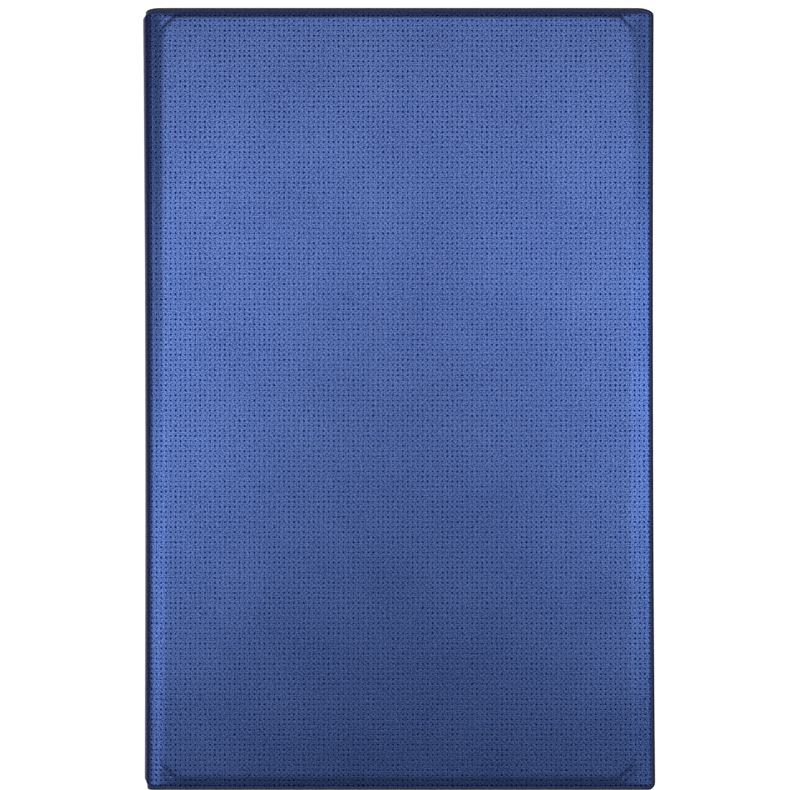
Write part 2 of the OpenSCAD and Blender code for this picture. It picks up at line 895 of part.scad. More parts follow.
// Section of the keyboard's side: bevelled at the border and at the back
module kb_section(half) {
    b = 0.8;
    s = 0.3;
    polygon([
        [s - half, 0], [half - s, 0], [half, s], [half, kb_h - b],
        [half - b, kb_h], [b - half, kb_h], [-half, kb_h - b],
        [-half, s]
    ]);
}

module kb_outside(z0, z1) {
    intersection() {
        along_x(big) kb_section(kb_d / 2);
        along_y(big) kb_section(kb_l / 2);
        translate([0, 0, z0]) round_slab(kb_l, kb_d, kb_r, z1 - z0);
    }
}

module switch_slot() {
    l = switch_l + switch_travel + 2 * fit;
    translate([switch_u - switch_l / 2 - fit, switch_v - 2 * kb_wall,
        knob_z - knob_h / 2 - fit]) cube([l, 3 * kb_wall, knob_h + 2 * fit]);
}

module socket_opening() {
    translate([kb_l / 2 - socket_inset - socket_d - fit,
        strip_v - socket_w / 2 - fit, socket_z])
        cube([socket_d + kb_wall, socket_w + 2 * fit, socket_h + fit]);
}

module keyboard_top_case() {
    color("#1d1e21") keyboard_frame() difference() {
        union() {
            difference() {
                kb_outside(split_z, kb_h);
                translate([0, 0, -cut]) round_slab(kb_l - 2 * kb_wall,
                    kb_d - 2 * kb_wall, kb_r - 1, deck_under + cut);
                // the well that the keys lie in, level with the border
                translate([0, 0, deck_top]) round_slab(kb_l - 2 * border_w,
                    kb_d - 2 * border_w, kb_r - 1, kb_h);
            }
            screw_places() translate([0, 0, split_z]) cylinder(
                r = boss_r, h = deck_under - split_z + cut);
        }
        for (k = all_keys) translate([k[0], k[1], 0]) round_slab(
            k[2] + 2 * key_clear, k[3] + 2 * key_clear, key_r + key_clear, kb_h);
        screw_places() cylinder(r = screw_r + close_fit, h = screw_l + cut);
        for (u = light_us) translate([u, strip_v, 0])
            cylinder(r = light_r + close_fit, h = kb_h);
        switch_slot();
        socket_opening();
    }
}

module keyboard_bottom_case() {
    lip_l = kb_l - 2 * kb_wall - 2 * fit;
    lip_d = kb_d - 2 * kb_wall - 2 * fit;
    color("#1d1e21") keyboard_frame() difference() {
        union() {
            kb_outside(0, kb_floor);
            difference() {
                round_slab(lip_l, lip_d, kb_r - 1 - fit,
                    kb_floor + floor_lip_h);
                translate([0, 0, kb_floor]) round_slab(lip_l - 2 * lip_wall,
                    lip_d - 2 * lip_wall, kb_r - 2 - fit, kb_h);
            }
        }
        screw_places() {
            translate([0, 0, -cut]) cylinder(r = screw_r + fit, h = kb_h);
            translate([0, 0, -cut]) cylinder(r = screw_head_r + fit,
                h = screw_head_h + cut);
        }
        pad_places() translate([0, 0, -cut])
            cylinder(r = pad_r + fit, h = pad_recess + cut);
        switch_slot();
        socket_opening();
    }
}

key_field_v0 = near_magnet_v + magnet_w / 2 + field_gap;
key_field_v1 = strip_v0 - fit;
key_field_l = 2 * inner_u;

module key_field(h) {
    translate([0, (key_field_v0 + key_field_v1) / 2, 0])
        round_slab(key_field_l, key_field_v1 - key_field_v0, 1, h);
}

module dome_sheet() {
    dome_h = rim_under - dome_z - 0.05;
    top_r = stem_r - 0.3;
    color("#cfd3d6") keyboard_frame() difference() {
        union() {
            translate([0, 0, sheet_z]) key_field(dome_base_t);
            for (k = all_keys) translate([k[0], k[1], dome_z - 0.1])
                cylinder(r1 = dome_r, r2 = top_r, h = dome_h + 0.1);
        }
        for (k = all_keys) translate([k[0], k[1], sheet_z - cut]) {
            cylinder(r = dome_r - dome_wall, h = cut + 0.15);
            translate([0, 0, cut + 0.1]) cylinder(r1 = dome_r - dome_wall,
                r2 = top_r - dome_wall, h = dome_h + dome_base_t - dome_wall);
        }
    }
}

module circuit_sheet() {
    color("#7d8f7a") keyboard_frame() translate([0, 0, kb_floor])
        key_field(circuit_t);
}

module controller_board() {
    color("#1f5c3a") keyboard_frame()
        translate([controller_u, strip_v, kb_floor]) round_slab(
            controller_l, controller_w, controller_r, controller_t);
}

module battery_cell() {
    color("#a9adb1") keyboard_frame()
        translate([battery_u0 + battery_l / 2, strip_v0 + battery_w / 2 + fit,
            kb_floor]) round_slab(battery_l, battery_w, battery_r, battery_h);
}

// A folded metal shell, open at the mouth, round a plastic tongue
module charging_socket() {
    back = 1;
    tongue_t = 0.5;
    color("#c3c6ca") keyboard_frame()
        translate([kb_l / 2 - socket_inset - socket_d, strip_v, socket_z])
            difference() {
                translate([0, -socket_w / 2, 0])
                    cube([socket_d, socket_w, socket_h]);
                translate([back, socket_wall - socket_w / 2, socket_wall])
                    cube([socket_d, socket_w - 2 * socket_wall,
                        socket_h - 2 * socket_wall]);
            }
    color("#222222") keyboard_frame()
        translate([kb_l / 2 - socket_inset - socket_d + back,
            strip_v - socket_w / 4, socket_z + (socket_h - tongue_t) / 2])
            cube([socket_d - back - tongue_t, socket_w / 2, tongue_t]);
}

module indicator_lights() {
    color("#dfe8f2") keyboard_frame() for (u = light_us)
        translate([u, strip_v, deck_under - light_drop])
            cylinder(r = light_r, h = deck_t + light_drop);
}

module keyboard_magnets() {
    color("#b9bcc0") keyboard_frame() bottom_magnet_places()
        translate([-magnet_l / 2, -magnet_w / 2, kb_floor])
            cube([magnet_l, magnet_w, magnet_h]);
}

module case_screws() {
    color("#8d9095") keyboard_frame() screw_places() difference() {
        union() {
            cylinder(r = screw_head_r, h = screw_head_h);
            cylinder(r = screw_r, h = screw_l);
        }
        for (a = [0, 90]) rotate([0, 0, a]) translate([-0.8, -0.15, -cut])
            cube([1.6, 0.3, cut + 0.3]);
    }
}

module rubber_pads() {
    color("#2a2a2c") keyboard_frame() pad_places()
        translate([0, 0, pad_recess - pad_h]) cylinder(r = pad_r, h = pad_h);
}

// The knob reaches out through its slot; its foot rides inside the wall
module power_switch() {
    foot_t = 0.5;
    grip = 0.25;
    color("#e8e8ea") keyboard_frame() translate([switch_u, 0, knob_z]) {
        difference() {
            translate([-switch_l / 2, switch_v - kb_wall - foot_t,
                -knob_h / 2])
                cube([switch_l, kb_wall + foot_t + knob_out, knob_h]);
            for (i = [-1:1]) translate([i * 1.0 - grip / 2,
                switch_v + knob_out - grip, -knob_h])
                cube([grip, 1, 2 * knob_h]);
        }
    }
}

// ================================================================ keys

// A cap with bevelled top edges, hollow inside, on a rim and a round stem
module key_cap(w, d) {
    shell = 0.9;
    module section(half) {
        polygon([
            [-half, 0], [half, 0], [half, kb_h - key_bevel],
            [half - key_bevel, kb_h], [key_bevel - half, kb_h],
            [-half, kb_h - key_bevel]
        ]);
    }
    difference() {
        union() {
            intersection() {
                along_y(big) section(w / 2);
                along_x(big) section(d / 2);
                translate([0, 0, rim_under])
                    round_slab(w, d, key_r, kb_h - rim_under);
            }
            translate([0, 0, rim_under]) round_slab(w + 2 * key_rim,
                d + 2 * key_rim, key_r + key_rim, key_rim_t);
        }
        difference() {
            translate([0, 0, rim_under - cut]) round_slab(w - 2 * shell,
                d - 2 * shell, key_r / 2, kb_h - shell - rim_under + cut);
            cylinder(r = stem_r, h = kb_h);
        }
    }
}

module key_set(keys) {
    color("#2b2c30") keyboard_frame() for (k = keys)
        translate([k[0], k[1], 0]) key_cap(k[2], k[3]);
}

// ================================================================ output

front_cover_skin();
front_cover_board();
front_cover_lining();
cover_magnets();
sleep_magnet();
spine_skin();
spine_board();
spine_lining();
back_cover_skin();
back_cover_board();
back_cover_lining();
anchor_strip_skin();
anchor_strip_lining();
tray_glue_sheet();
tablet_tray();
tray_pad();
flap_keeper_plates();
stand_flap_skin();
stand_flap_board();
stand_flap_lining();
stand_flap_magnets();
keyboard_top_case();
keyboard_bottom_case();
dome_sheet();
circuit_sheet();
controller_board();
battery_cell();
charging_socket();
indicator_lights();
keyboard_magnets();
case_screws();
rubber_pads();
power_switch();
key_set(function_row);  // function_keys
key_set(number_row);  // number_keys
key_set(upper_row);  // upper_letter_keys
key_set(home_row);  // home_letter_keys
key_set(lower_row);  // lower_letter_keys
key_set(escape_place);  // escape_key
key_set(backspace_place);  // backspace_key
key_set(tab_place);  // tab_key
key_set(backslash_place);  // backslash_key
key_set(caps_place);  // caps_lock_key
key_set(enter_place);  // enter_key
key_set(left_shift_place);  // left_shift_key
key_set(right_shift_place);  // right_shift_key
key_set(fn_place);  // fn_key
key_set(control_place);  // control_key
key_set(left_alt_place);  // left_alt_key
key_set(left_menu_place);  // left_menu_key
key_set(space_place);  // space_bar
key_set(right_menu_place);  // right_menu_key
key_set(right_alt_place);  // right_alt_key
key_set(left_arrow_place);  // left_arrow_key
key_set(up_arrow_place);  // up_arrow_key
key_set(down_arrow_place);  // down_arrow_key
key_set(right_arrow_place);  // right_arrow_key
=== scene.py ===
"""Looks of a tablet keyboard case: pressed leather covers, microfibre lining, tray and keyboard."""

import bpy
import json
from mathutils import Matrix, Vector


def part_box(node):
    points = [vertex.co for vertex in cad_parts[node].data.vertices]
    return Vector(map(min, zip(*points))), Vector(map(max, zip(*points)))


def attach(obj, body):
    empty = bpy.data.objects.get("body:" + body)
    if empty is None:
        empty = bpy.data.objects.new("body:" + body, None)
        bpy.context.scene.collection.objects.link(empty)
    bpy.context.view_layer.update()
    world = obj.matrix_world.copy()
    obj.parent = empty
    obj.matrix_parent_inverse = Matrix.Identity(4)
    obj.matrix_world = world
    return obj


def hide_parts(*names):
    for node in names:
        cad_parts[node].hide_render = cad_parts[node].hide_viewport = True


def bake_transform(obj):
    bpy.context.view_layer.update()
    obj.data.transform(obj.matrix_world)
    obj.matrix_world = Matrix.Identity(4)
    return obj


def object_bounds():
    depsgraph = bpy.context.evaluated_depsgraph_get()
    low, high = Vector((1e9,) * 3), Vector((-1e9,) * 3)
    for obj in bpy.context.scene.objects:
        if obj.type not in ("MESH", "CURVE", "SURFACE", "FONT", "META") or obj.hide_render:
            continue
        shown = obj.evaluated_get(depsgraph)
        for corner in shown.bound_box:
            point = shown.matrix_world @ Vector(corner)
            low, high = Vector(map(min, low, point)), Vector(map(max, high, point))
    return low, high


bl_info = {
    "name": "Tablet keyboard case",
    "version": (1, 0, 0),
    "blender": (4, 5, 0),
    "location": "View3D > Sidebar > Keyboard case",
    "description": "Builds the leather, lining, keys and finishes of a tablet keyboard case",
    "category": "Object",
}

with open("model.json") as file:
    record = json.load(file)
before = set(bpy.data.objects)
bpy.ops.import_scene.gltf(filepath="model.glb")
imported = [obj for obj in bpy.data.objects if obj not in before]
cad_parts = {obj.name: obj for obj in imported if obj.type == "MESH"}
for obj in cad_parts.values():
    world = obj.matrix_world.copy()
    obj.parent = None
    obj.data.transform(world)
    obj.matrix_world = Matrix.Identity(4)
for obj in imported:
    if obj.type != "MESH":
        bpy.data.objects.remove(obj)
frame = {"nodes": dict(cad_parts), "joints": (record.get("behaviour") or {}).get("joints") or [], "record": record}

import json
import math

import bmesh
import bpy
import numpy as np
from bpy.props import FloatProperty, FloatVectorProperty, IntProperty, PointerProperty
from mathutils import Matrix, Vector, noise

MM = 0.001

# ---------------------------------------------------------------- the solids' own sizes

CAD_LOW, CAD_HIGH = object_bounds()
SPINE_X, TAIL_Y, TABLE_Z = CAD_LOW
FREE_X, HEAD_Y, CASE_TOP = CAD_HIGH
FRONT_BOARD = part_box("front_cover_board")
BACK_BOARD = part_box("back_cover_board")
FLAP_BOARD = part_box("stand_flap_board")
SPINE_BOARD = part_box("spine_board")
FRONT_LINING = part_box("front_cover_lining")
BOARD_T = FRONT_BOARD[1].z - FRONT_BOARD[0].z
SKIN_T = CASE_TOP - FRONT_BOARD[1].z
LINING_T = FRONT_BOARD[0].z - FRONT_LINING[0].z
MARGIN_T = SKIN_T + LINING_T
ANCHOR_EDGE_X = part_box("anchor_strip_lining")[1].x
FLAP_EDGE_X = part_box("stand_flap_lining")[0].x
FLAP_FOLD_X = next(j for j in frame["joints"] if j["name"] == "stand_flap_fold")["pos_m"][0]
CAMERA_OPENING = next(
    o for o in frame["record"]["physics"]["openings"] if o["name"] == "camera_window"
)["box_m"]
SURFACE_MAP = "surface"  # the skins' own UV map, in metres along the leather
EDGE_MAP = "edge"  # a second one: its X is the distance from the nearest cut edge, in metres
MATH, VECTOR_MATH = "ShaderNodeMath", "ShaderNodeVectorMath"


# ---------------------------------------------------------------- small helpers


def linear(code):
    """An sRGB hex colour, such as #4a6fb0, as a linear one."""
    parts = [int(code[i:i + 2], 16) / 255 for i in (1, 3, 5)]
    return [c / 12.92 if c <= 0.04045 else ((c + 0.055) / 1.055) ** 2.4 for c in parts] + [1.0]


def add(tree, kind, inputs=None, **settings):
    """Adds a node with its settings, and gives its sockets their values or links. A node that
    is given as a value stands for its first output."""
    node = tree.nodes.new(kind)
    for name, value in settings.items():
        setattr(node, name, value)
    for key, value in (inputs or {}).items():
        if isinstance(value, bpy.types.Node):
            value = value.outputs[0]
        if isinstance(value, bpy.types.NodeSocket):
            tree.links.new(value, node.inputs[key])
        else:
            node.inputs[key].default_value = value
    return node


def length(name, about, millimetres):
    """A size that a user can change."""
    size = millimetres * MM
    return FloatProperty(name=name, description=about, default=size, min=0.0, max=10 * size,
                         unit="LENGTH", precision=5)


def colour(name, about, code):
    """A colour that a user can change."""
    return FloatVectorProperty(name=name, description=about, default=linear(code), size=4,
                               min=0.0, max=1.0, subtype="COLOR")


# ---------------------------------------------------------------- sizes and colours


class CoverSizes(bpy.types.PropertyGroup):
    """Shape of the pressed covers"""

    spine_roll: length("Spine roll", "Outer radius of the two rolls of the spine", 3.4)
    head_corner_across: length("Head corner across", "How far the head's corners reach across", 5.4)
    head_corner_along: length("Head corner along", "How far the head's corners reach along", 2.4)
    tail_corner_across: length("Tail corner across", "How far the tail's corners reach across", 2.3)
    tail_corner_along: length("Tail corner along", "How far the tail's corners reach along", 2.6)
    spine_slope: length("Spine slope", "Width of the slope beside the spine, on to its roll", 5.6)
    free_slope: length("Free slope", "Width of the slope beside the free edge, on to its roll", 8)
    head_slope: length("Head slope", "Width of the pressed slope at the head", 2.6)
    head_drop: length("Head drop", "Drop of that slope", 0.5)
    tail_slope: length("Tail slope", "Width of the pressed slope at the tail", 5)
    tail_drop: length("Tail drop", "Drop of that slope", 0.4)
    small_slope: length("Small slope",
                        "Width of the slopes round the back's boards and the spine's", 2)
    board_chamfer: length("Board corner", "Length cut off each corner of the boards", 3.4)
    edge_roll: length("Edge roll", "Radius over which the free edge rolls down", 1.4)
    end_roll: length("End roll", "Radius over which head and tail roll down", 1.3)
    corner_slope: length("Corner slope", "Width of the slopes across the boards' corners", 4)
    corner_drop: length("Corner drop", "Drop of those slopes", 0.3)
    crease_width: length("Crease width", "Half the width of the creases across those corners", 0.8)
    crease_depth: length("Crease depth", "Depth of those creases", 0.12)
    waist: length("Waist", "How far the long edges draw in at the middle", 0.45)
    lean: length("Lean", "How far the long edges lean, out at the tail", 0.25)
    trim: length("Trim", "Strip of lining that shows all round the leather", 0.5)
    wave_height: length("Wave height", "How far the glued leather lies out of true", 0.05)
    wave_width: length("Wave width", "Width of those shallow waves", 26)


class LeatherSizes(bpy.types.PropertyGroup):
    """Grain and colours of the leather and the lining"""

    pit_across: length("Pit pitch across", "Distance between pits, across the case", 1.616)
    pit_along: length("Pit pitch along", "Distance between pits, along the spine", 1.655)
    pit_size: length("Pit diameter", "Diameter of each pressed pit", 0.66)
    first_pit_x: length("First pit across", "Distance of one pit from the middle, across", 1.33)
    first_pit_y: length("First pit along", "Distance of one pit from the middle, along", 1.17)
    grain: length("Grain", "Width of the fine grain between the pits", 0.34)
    cloud: length("Cloud", "Width of the soft patches in the pearl", 24)
    pearl: colour("Pearl", "The pearly blue of the grain's crests", "#5c73ab")
    hollow: colour("Hollow", "The deeper blue of the grain's hollows", "#243871")
    pit: colour("Pit", "Bottom of the pits", "#071853")
    # Painted shade: the spine's roll, the spine and the back are darkened and turned violet, fading out this far
    # on to the front.
    roll_shade_end: length("Stretched part", "How far on to the front the spine's leather is drawn", 4)
    stretch_and_roll_shade: colour("Stretched tone", "Tone that the leather takes where it is drawn", "#71678c")
    # A dark, matt band along the cut edges, lying on the edges' roll.
    edge_band_width: length("Edge paint width", "Width of the painted band along the cut edges", 0.75)
    dark_edge_band: colour("Edge paint", "Matt paint on the cut edges", "#262a50")
    fibre: colour("Microfibre", "The black lining", "#17181b")


class KeyboardSizes(bpy.types.PropertyGroup):
    """Caps and legends of the keyboard"""

    key_gap: length("Key gap", "Gap between neighbouring caps", 2)
    rim_gap: length("Rim gap", "Gap between the rims under neighbouring caps", 0.8)
    corner: length("Cap corner", "Corner radius of the caps", 1.4)
    edge: length("Cap edge", "Rounding along the caps' top edges", 0.35)
    edge_steps: IntProperty(name="Edge steps", description="Facets across each rounded edge",
                            default=3, min=1, max=6)
    letter: length("Letter height", "Size of the letters and numbers", 3.6)
    word: length("Word height", "Size of the words on the wider keys", 2.4)
    ink: length("Ink", "Thickness of the printed legends", 0.03)
    legend: colour("Legend", "Colour of the legends", "#c9ccd2")
    cap: colour("Caps", "Colour of the key caps", "#232428")
    case: colour("Keyboard case", "Colour of the keyboard's case", "#1a1b1e")


class StageSettings(bpy.types.PropertyGroup):
    """Floor, lights and camera"""

    floor: colour("Floor", "Colour of the floor", "#f4f4f5")
    view_width: length("View width", "Width that the camera sees at the front cover", 261.6)
    aim_x: length("Aim across", "Place of the camera, across the case", 0.4)
    aim_y: length("Aim along", "Place of the camera, along the case", 1.3)


# ---------------------------------------------------------------- materials


def start_nodes(kind, name):
    """A new material or world, and its node tree without nodes."""
    item = kind.new(name)
    item.use_nodes = True
    item.node_tree.nodes.clear()
    return item, item.node_tree


def cover_with(tree, values):
    """Ends a material in one Principled shader; values are its sockets'."""
    shader = add(tree, "ShaderNodeBsdfPrincipled", values)
    add(tree, "ShaderNodeOutputMaterial", {"Surface": shader})


def pit_lattice(tree, surface, leather):
    """The leather's square lattice of pits: how deep each point lies in a pit, and how much of
    the raised rim round one it has, both from 0 to 1. The rims are painted lighter, a painted highlight."""
    pitch = (leather.pit_across, leather.pit_along, 1.0)
    first = (leather.first_pit_x, leather.first_pit_y, 0.0)
    wander_width, wander_reach = 2.2 * MM, 0.24 * MM
    widest, narrowest = 0.88, 1.26  # what each pit's distances are multiplied by
    wall = 0.6, 0.42                # shares of the pit's size where its wall starts and ends
    lip = 1.15, 0.75                # the same for its raised rim, which is painted lighter as a painted highlight
    middle = (0.5, 0.5, 0.0)
    wander = add(tree, "ShaderNodeTexNoise", {
        "Vector": surface, "Scale": 1 / wander_width, "Detail": 1.0}, noise_dimensions="2D")
    centred = add(tree, VECTOR_MATH, {0: wander.outputs["Color"], 1: (0.5,) * 3},
                  operation="SUBTRACT")
    moved = add(tree, VECTOR_MATH, {
        0: centred, 1: (wander_reach, wander_reach, 0.0), 2: surface}, operation="MULTIPLY_ADD")
    placed = add(tree, VECTOR_MATH, {0: moved, 1: first}, operation="SUBTRACT")
    cells = add(tree, VECTOR_MATH, {0: placed, 1: pitch}, operation="DIVIDE")
    shifted = add(tree, VECTOR_MATH, {0: cells, 1: middle})
    within = add(tree, VECTOR_MATH, {0: shifted}, operation="FRACTION")
    offset = add(tree, VECTOR_MATH, {0: within, 1: middle}, operation="SUBTRACT")
    apart = add(tree, VECTOR_MATH, {0: offset, 1: pitch}, operation="MULTIPLY")
    number = add(tree, VECTOR_MATH, {0: shifted}, operation="FLOOR")
    chance = add(tree, "ShaderNodeTexWhiteNoise", {"Vector": number}, noise_dimensions="2D")
    growth = add(tree, "ShaderNodeMapRange", {
        "Value": chance, "To Min": widest, "To Max": narrowest})
    scaled = add(tree, VECTOR_MATH, {0: apart, "Scale": growth}, operation="SCALE")
    distance = add(tree, VECTOR_MATH, {0: scaled}, operation="LENGTH").outputs["Value"]
    return [add(tree, "ShaderNodeMapRange", {
        "Value": distance, "From Min": leather.pit_size * start,
        "From Max": leather.pit_size * end}, interpolation_type="SMOOTHSTEP")
        for start, end in (wall, lip)]


def fine_grain(tree, surface, leather):
    """The fine grain between the pits: two sets of short ridges that cross on the diagonal."""
    length_share = 1.35  # length of a ridge for its width
    ridges = []
    for angle in (math.radians(38), math.radians(-52)):
        turned = add(tree, "ShaderNodeMapping", {
            "Vector": surface, "Rotation": (0.0, 0.0, angle),
            "Scale": (1 / (leather.grain * length_share), 1 / leather.grain, 1.0)})
        ridges.append(add(tree, "ShaderNodeTexNoise", {
            "Vector": turned, "Scale": 1.0, "Detail": 1.0, "Roughness": 0.5},
            noise_dimensions="2D"))
    both = add(tree, MATH, {0: ridges[0], 1: ridges[1]}, operation="ADD")
    return add(tree, MATH, {0: both, 1: 0.5}, operation="MULTIPLY")


def dark_edge_band(tree, leather):
    """How far the surface is in the dark, matt band: 1 beside the skins' cut edges."""
    clear, full = 1.6, 0.4  # shares of the band's width where it ends and where it is whole
    cut = add(tree, "ShaderNodeUVMap", uv_map=EDGE_MAP)
    away = add(tree, "ShaderNodeSeparateXYZ", {0: cut})
    return add(tree, "ShaderNodeMapRange", {
        "Value": away, "From Min": leather.edge_band_width * clear,
        "From Max": leather.edge_band_width * full}, interpolation_type="SMOOTHSTEP")


def pearl_leather(leather):
    """PU leather: a pearl lacquer over an embossed film. The crests of its grain are rubbed light,
    the rims of its pits are painted lighter as a painted highlight, and the hollows and the pits
    stay a deep blue. Painted shade darkens the spine's roll, the spine and the back and turns them
    violet, fading out a little way on to the front. A dark, matt band runs along the cut edges."""
    rim_highlight, cloud_wear = 0.035, 0.06  # how much the rims' painted highlight and the clouds add to the grain's wear
    hollow_wear, crest_wear = 0.46, 0.62
    body_metal, pit_metal = 0.78, 1.0   # the pearl's flakes, which lie thickest in the pits
    body_rough, edge_band_rough = 0.34, 0.7
    pit_fall = -1.6                     # of the pits, for a rise of 1 of the grain
    material, tree = start_nodes(bpy.data.materials, "embossed_pearl_pu_leather")
    surface = add(tree, "ShaderNodeUVMap", uv_map=SURFACE_MAP)
    pits, rims = pit_lattice(tree, surface, leather)
    grain = fine_grain(tree, surface, leather)
    cloud = add(tree, "ShaderNodeTexNoise", {
        "Vector": surface, "Scale": 1 / leather.cloud, "Detail": 3.0}, noise_dimensions="2D")
    # Painted highlight: the rims round the pits are pushed towards the light pearl colour.
    worn_and_rim_highlight = add(tree, MATH, {0: rims, 1: rim_highlight, 2: grain}, operation="MULTIPLY_ADD")
    uneven = add(tree, MATH, {0: cloud, 1: cloud_wear, 2: worn_and_rim_highlight}, operation="MULTIPLY_ADD")
    crest = add(tree, "ShaderNodeMapRange", {
        "Value": uneven, "From Min": hollow_wear, "From Max": crest_wear})
    body = add(tree, "ShaderNodeMix", {0: crest, 6: leather.hollow, 7: leather.pearl},
               data_type="RGBA")
    # Painted shade: the colour is multiplied by a darker violet on the spine's roll, the spine and the back,
    # fading out a little way on to the front.
    across = add(tree, "ShaderNodeSeparateXYZ", {0: surface})
    stretch_and_roll_shade = add(tree, "ShaderNodeMapRange", {
        "Value": across, "From Min": SPINE_X + leather.roll_shade_end, "From Max": SPINE_X},
        interpolation_type="SMOOTHSTEP")
    tone = add(tree, "ShaderNodeMix", {0: stretch_and_roll_shade, 6: (1, 1, 1, 1), 7: leather.stretch_and_roll_shade},
               data_type="RGBA")
    drawn_and_roll_shaded = add(tree, "ShaderNodeMix", {0: 1.0, 6: body.outputs[2], 7: tone.outputs[2]},
                data_type="RGBA", blend_type="MULTIPLY")
    pitted = add(tree, "ShaderNodeMix", {0: pits, 6: drawn_and_roll_shaded.outputs[2], 7: leather.pit},
                 data_type="RGBA")
    # The dark, matt band along the cut edges, which lies on their roll: a darker colour, no metal and more
    # roughness.
    painted = dark_edge_band(tree, leather)
    with_dark_edge = add(tree, "ShaderNodeMix", {
        0: painted, 6: pitted.outputs[2], 7: leather.dark_edge_band}, data_type="RGBA")
    flakes = add(tree, "ShaderNodeMapRange", {
        "Value": pits, "To Min": body_metal, "To Max": pit_metal})
    dulled = add(tree, "ShaderNodeMapRange", {"Value": painted, "To Min": flakes, "To Max": 0.0})
    rough = add(tree, "ShaderNodeMapRange", {
        "Value": painted, "To Min": body_rough, "To Max": edge_band_rough})
    sunk = add(tree, MATH, {0: pits, 1: pit_fall, 2: grain}, operation="MULTIPLY_ADD")
    bump = add(tree, "ShaderNodeBump", {"Height": sunk, "Strength": 0.3, "Distance": 0.09 * MM})
    cover_with(tree, {"Base Color": with_dark_edge.outputs[2], "Metallic": dulled, "Roughness": rough,
                      "IOR": 1.5, "Normal": bump})
    return material


def microfibre(leather):
    """Brushed black microfibre: a matt nap with a faint bloom at grazing angles."""
    brush_width, nap_width, nap_depth = 14 * MM, 0.5 * MM, 0.08 * MM
    material, tree = start_nodes(bpy.data.materials, "brushed_black_microfibre")
    surface = add(tree, "ShaderNodeUVMap", uv_map=SURFACE_MAP)
    brushed = add(tree, "ShaderNodeTexNoise", {
        "Vector": surface, "Scale": 1 / brush_width, "Detail": 4.0, "Distortion": 0.6},
        noise_dimensions="2D")
    nap = add(tree, "ShaderNodeTexNoise", {
        "Vector": surface, "Scale": 1 / nap_width, "Detail": 2.0}, noise_dimensions="2D")
    both = add(tree, MATH, {0: brushed, 1: 0.5, 2: nap}, operation="MULTIPLY_ADD")
    shade = add(tree, "ShaderNodeMapRange", {
        "Value": both, "From Min": 0.5, "From Max": 1.0, "To Min": 0.6, "To Max": 1.7})
    tone = add(tree, "ShaderNodeMix", {0: 1.0, 6: leather.fibre, 7: shade},
               data_type="RGBA", blend_type="MULTIPLY")
    bump = add(tree, "ShaderNodeBump", {"Height": nap, "Strength": 0.4, "Distance": nap_depth})
    cover_with(tree, {"Base Color": tone.outputs[2], "Roughness": 0.92, "IOR": 1.45,
                      "Sheen Weight": 0.35, "Sheen Roughness": 0.45, "Normal": bump})
    return material


def grained(name, base, grain, depth, spread, values, drawn_and_roll_shaded=1.0):
    """A finish with one fine grain, of a real width and depth in millimetres, that shades its
    colour by spread and its height. drawn below 1 draws the grain out along the case, as
    brushing and rolling do."""
    material, tree = start_nodes(bpy.data.materials, name)
    place = add(tree, "ShaderNodeTexCoord").outputs["Object"]
    stretch_and_roll_shade = add(tree, "ShaderNodeMapping", {"Vector": place, "Scale": (1.0, drawn_and_roll_shaded, 1.0)})
    texture = add(tree, "ShaderNodeTexNoise", {
        "Vector": stretch_and_roll_shade, "Scale": 1 / (grain * MM), "Detail": 3.0, "Roughness": 0.6})
    shade = add(tree, "ShaderNodeMapRange", {
        "Value": texture, "From Min": 0.3, "From Max": 0.7,
        "To Min": 1 - spread, "To Max": 1 + spread})
    tone = add(tree, "ShaderNodeMix", {0: 1.0, 6: base, 7: shade},
               data_type="RGBA", blend_type="MULTIPLY")
    bump = add(tree, "ShaderNodeBump", {
        "Height": texture, "Strength": 0.5, "Distance": depth * MM})
    cover_with(tree, {"Base Color": tone.outputs[2], "Normal": bump, **values})
    return material


# Finishes of the solids that lie inside the covers. Each is its name, its colour, the width and
# depth of its grain in millimetres, how far the grain shades it, its other values, how far the
# grain is drawn out, and the solids that have it.
INNER_FINISHES = (
    # Grey board: pressed waste paper, matt, with flecks of fibre
    ("pressed_grey_board", "#8f8a80", 0.8, 0.05, 0.2, {"Roughness": 0.9}, 1.0,
     "front_cover_board", "spine_board", "back_cover_board", "stand_flap_board"),
    # Nickel plating over a sintered magnet: bright and slightly warm, with a fine orange peel
    ("nickel_plating", "#b9b6ae", 0.6, 0.01, 0.05, {"Metallic": 1.0, "Roughness": 0.24}, 1.0,
     "cover_magnets", "sleep_magnet", "stand_flap_magnets", "keyboard_magnets"),
    # Cold-rolled steel sheet: grey, with faint lines along the rolling
    ("cold_rolled_steel", "#8d9094", 0.5, 0.01, 0.1, {"Metallic": 1.0, "Roughness": 0.38}, 0.05,
     "flap_keeper_plates"),
    # Acrylic transfer tape: milky, soft and slightly uneven
    ("acrylic_glue_film", "#d8d4c6", 1.5, 0.02, 0.08, {"Roughness": 0.5, "IOR": 1.48}, 1.0,
     "tray_glue_sheet"),
    # Moulded polycarbonate with a spark-eroded skin: black, even and satin
    ("spark_textured_polycarbonate", "#1b1c1f", 0.35, 0.02, 0.12,
     {"Roughness": 0.55, "IOR": 1.58}, 1.0, "tablet_tray"),
    # Needled felt: matt, with matted fibres that catch a little light
    ("needled_black_felt", "#202125", 0.6, 0.1, 0.3,
     {"Roughness": 0.95, "Sheen Weight": 0.3, "Sheen Roughness": 0.5}, 1.0, "tray_pad"),
)
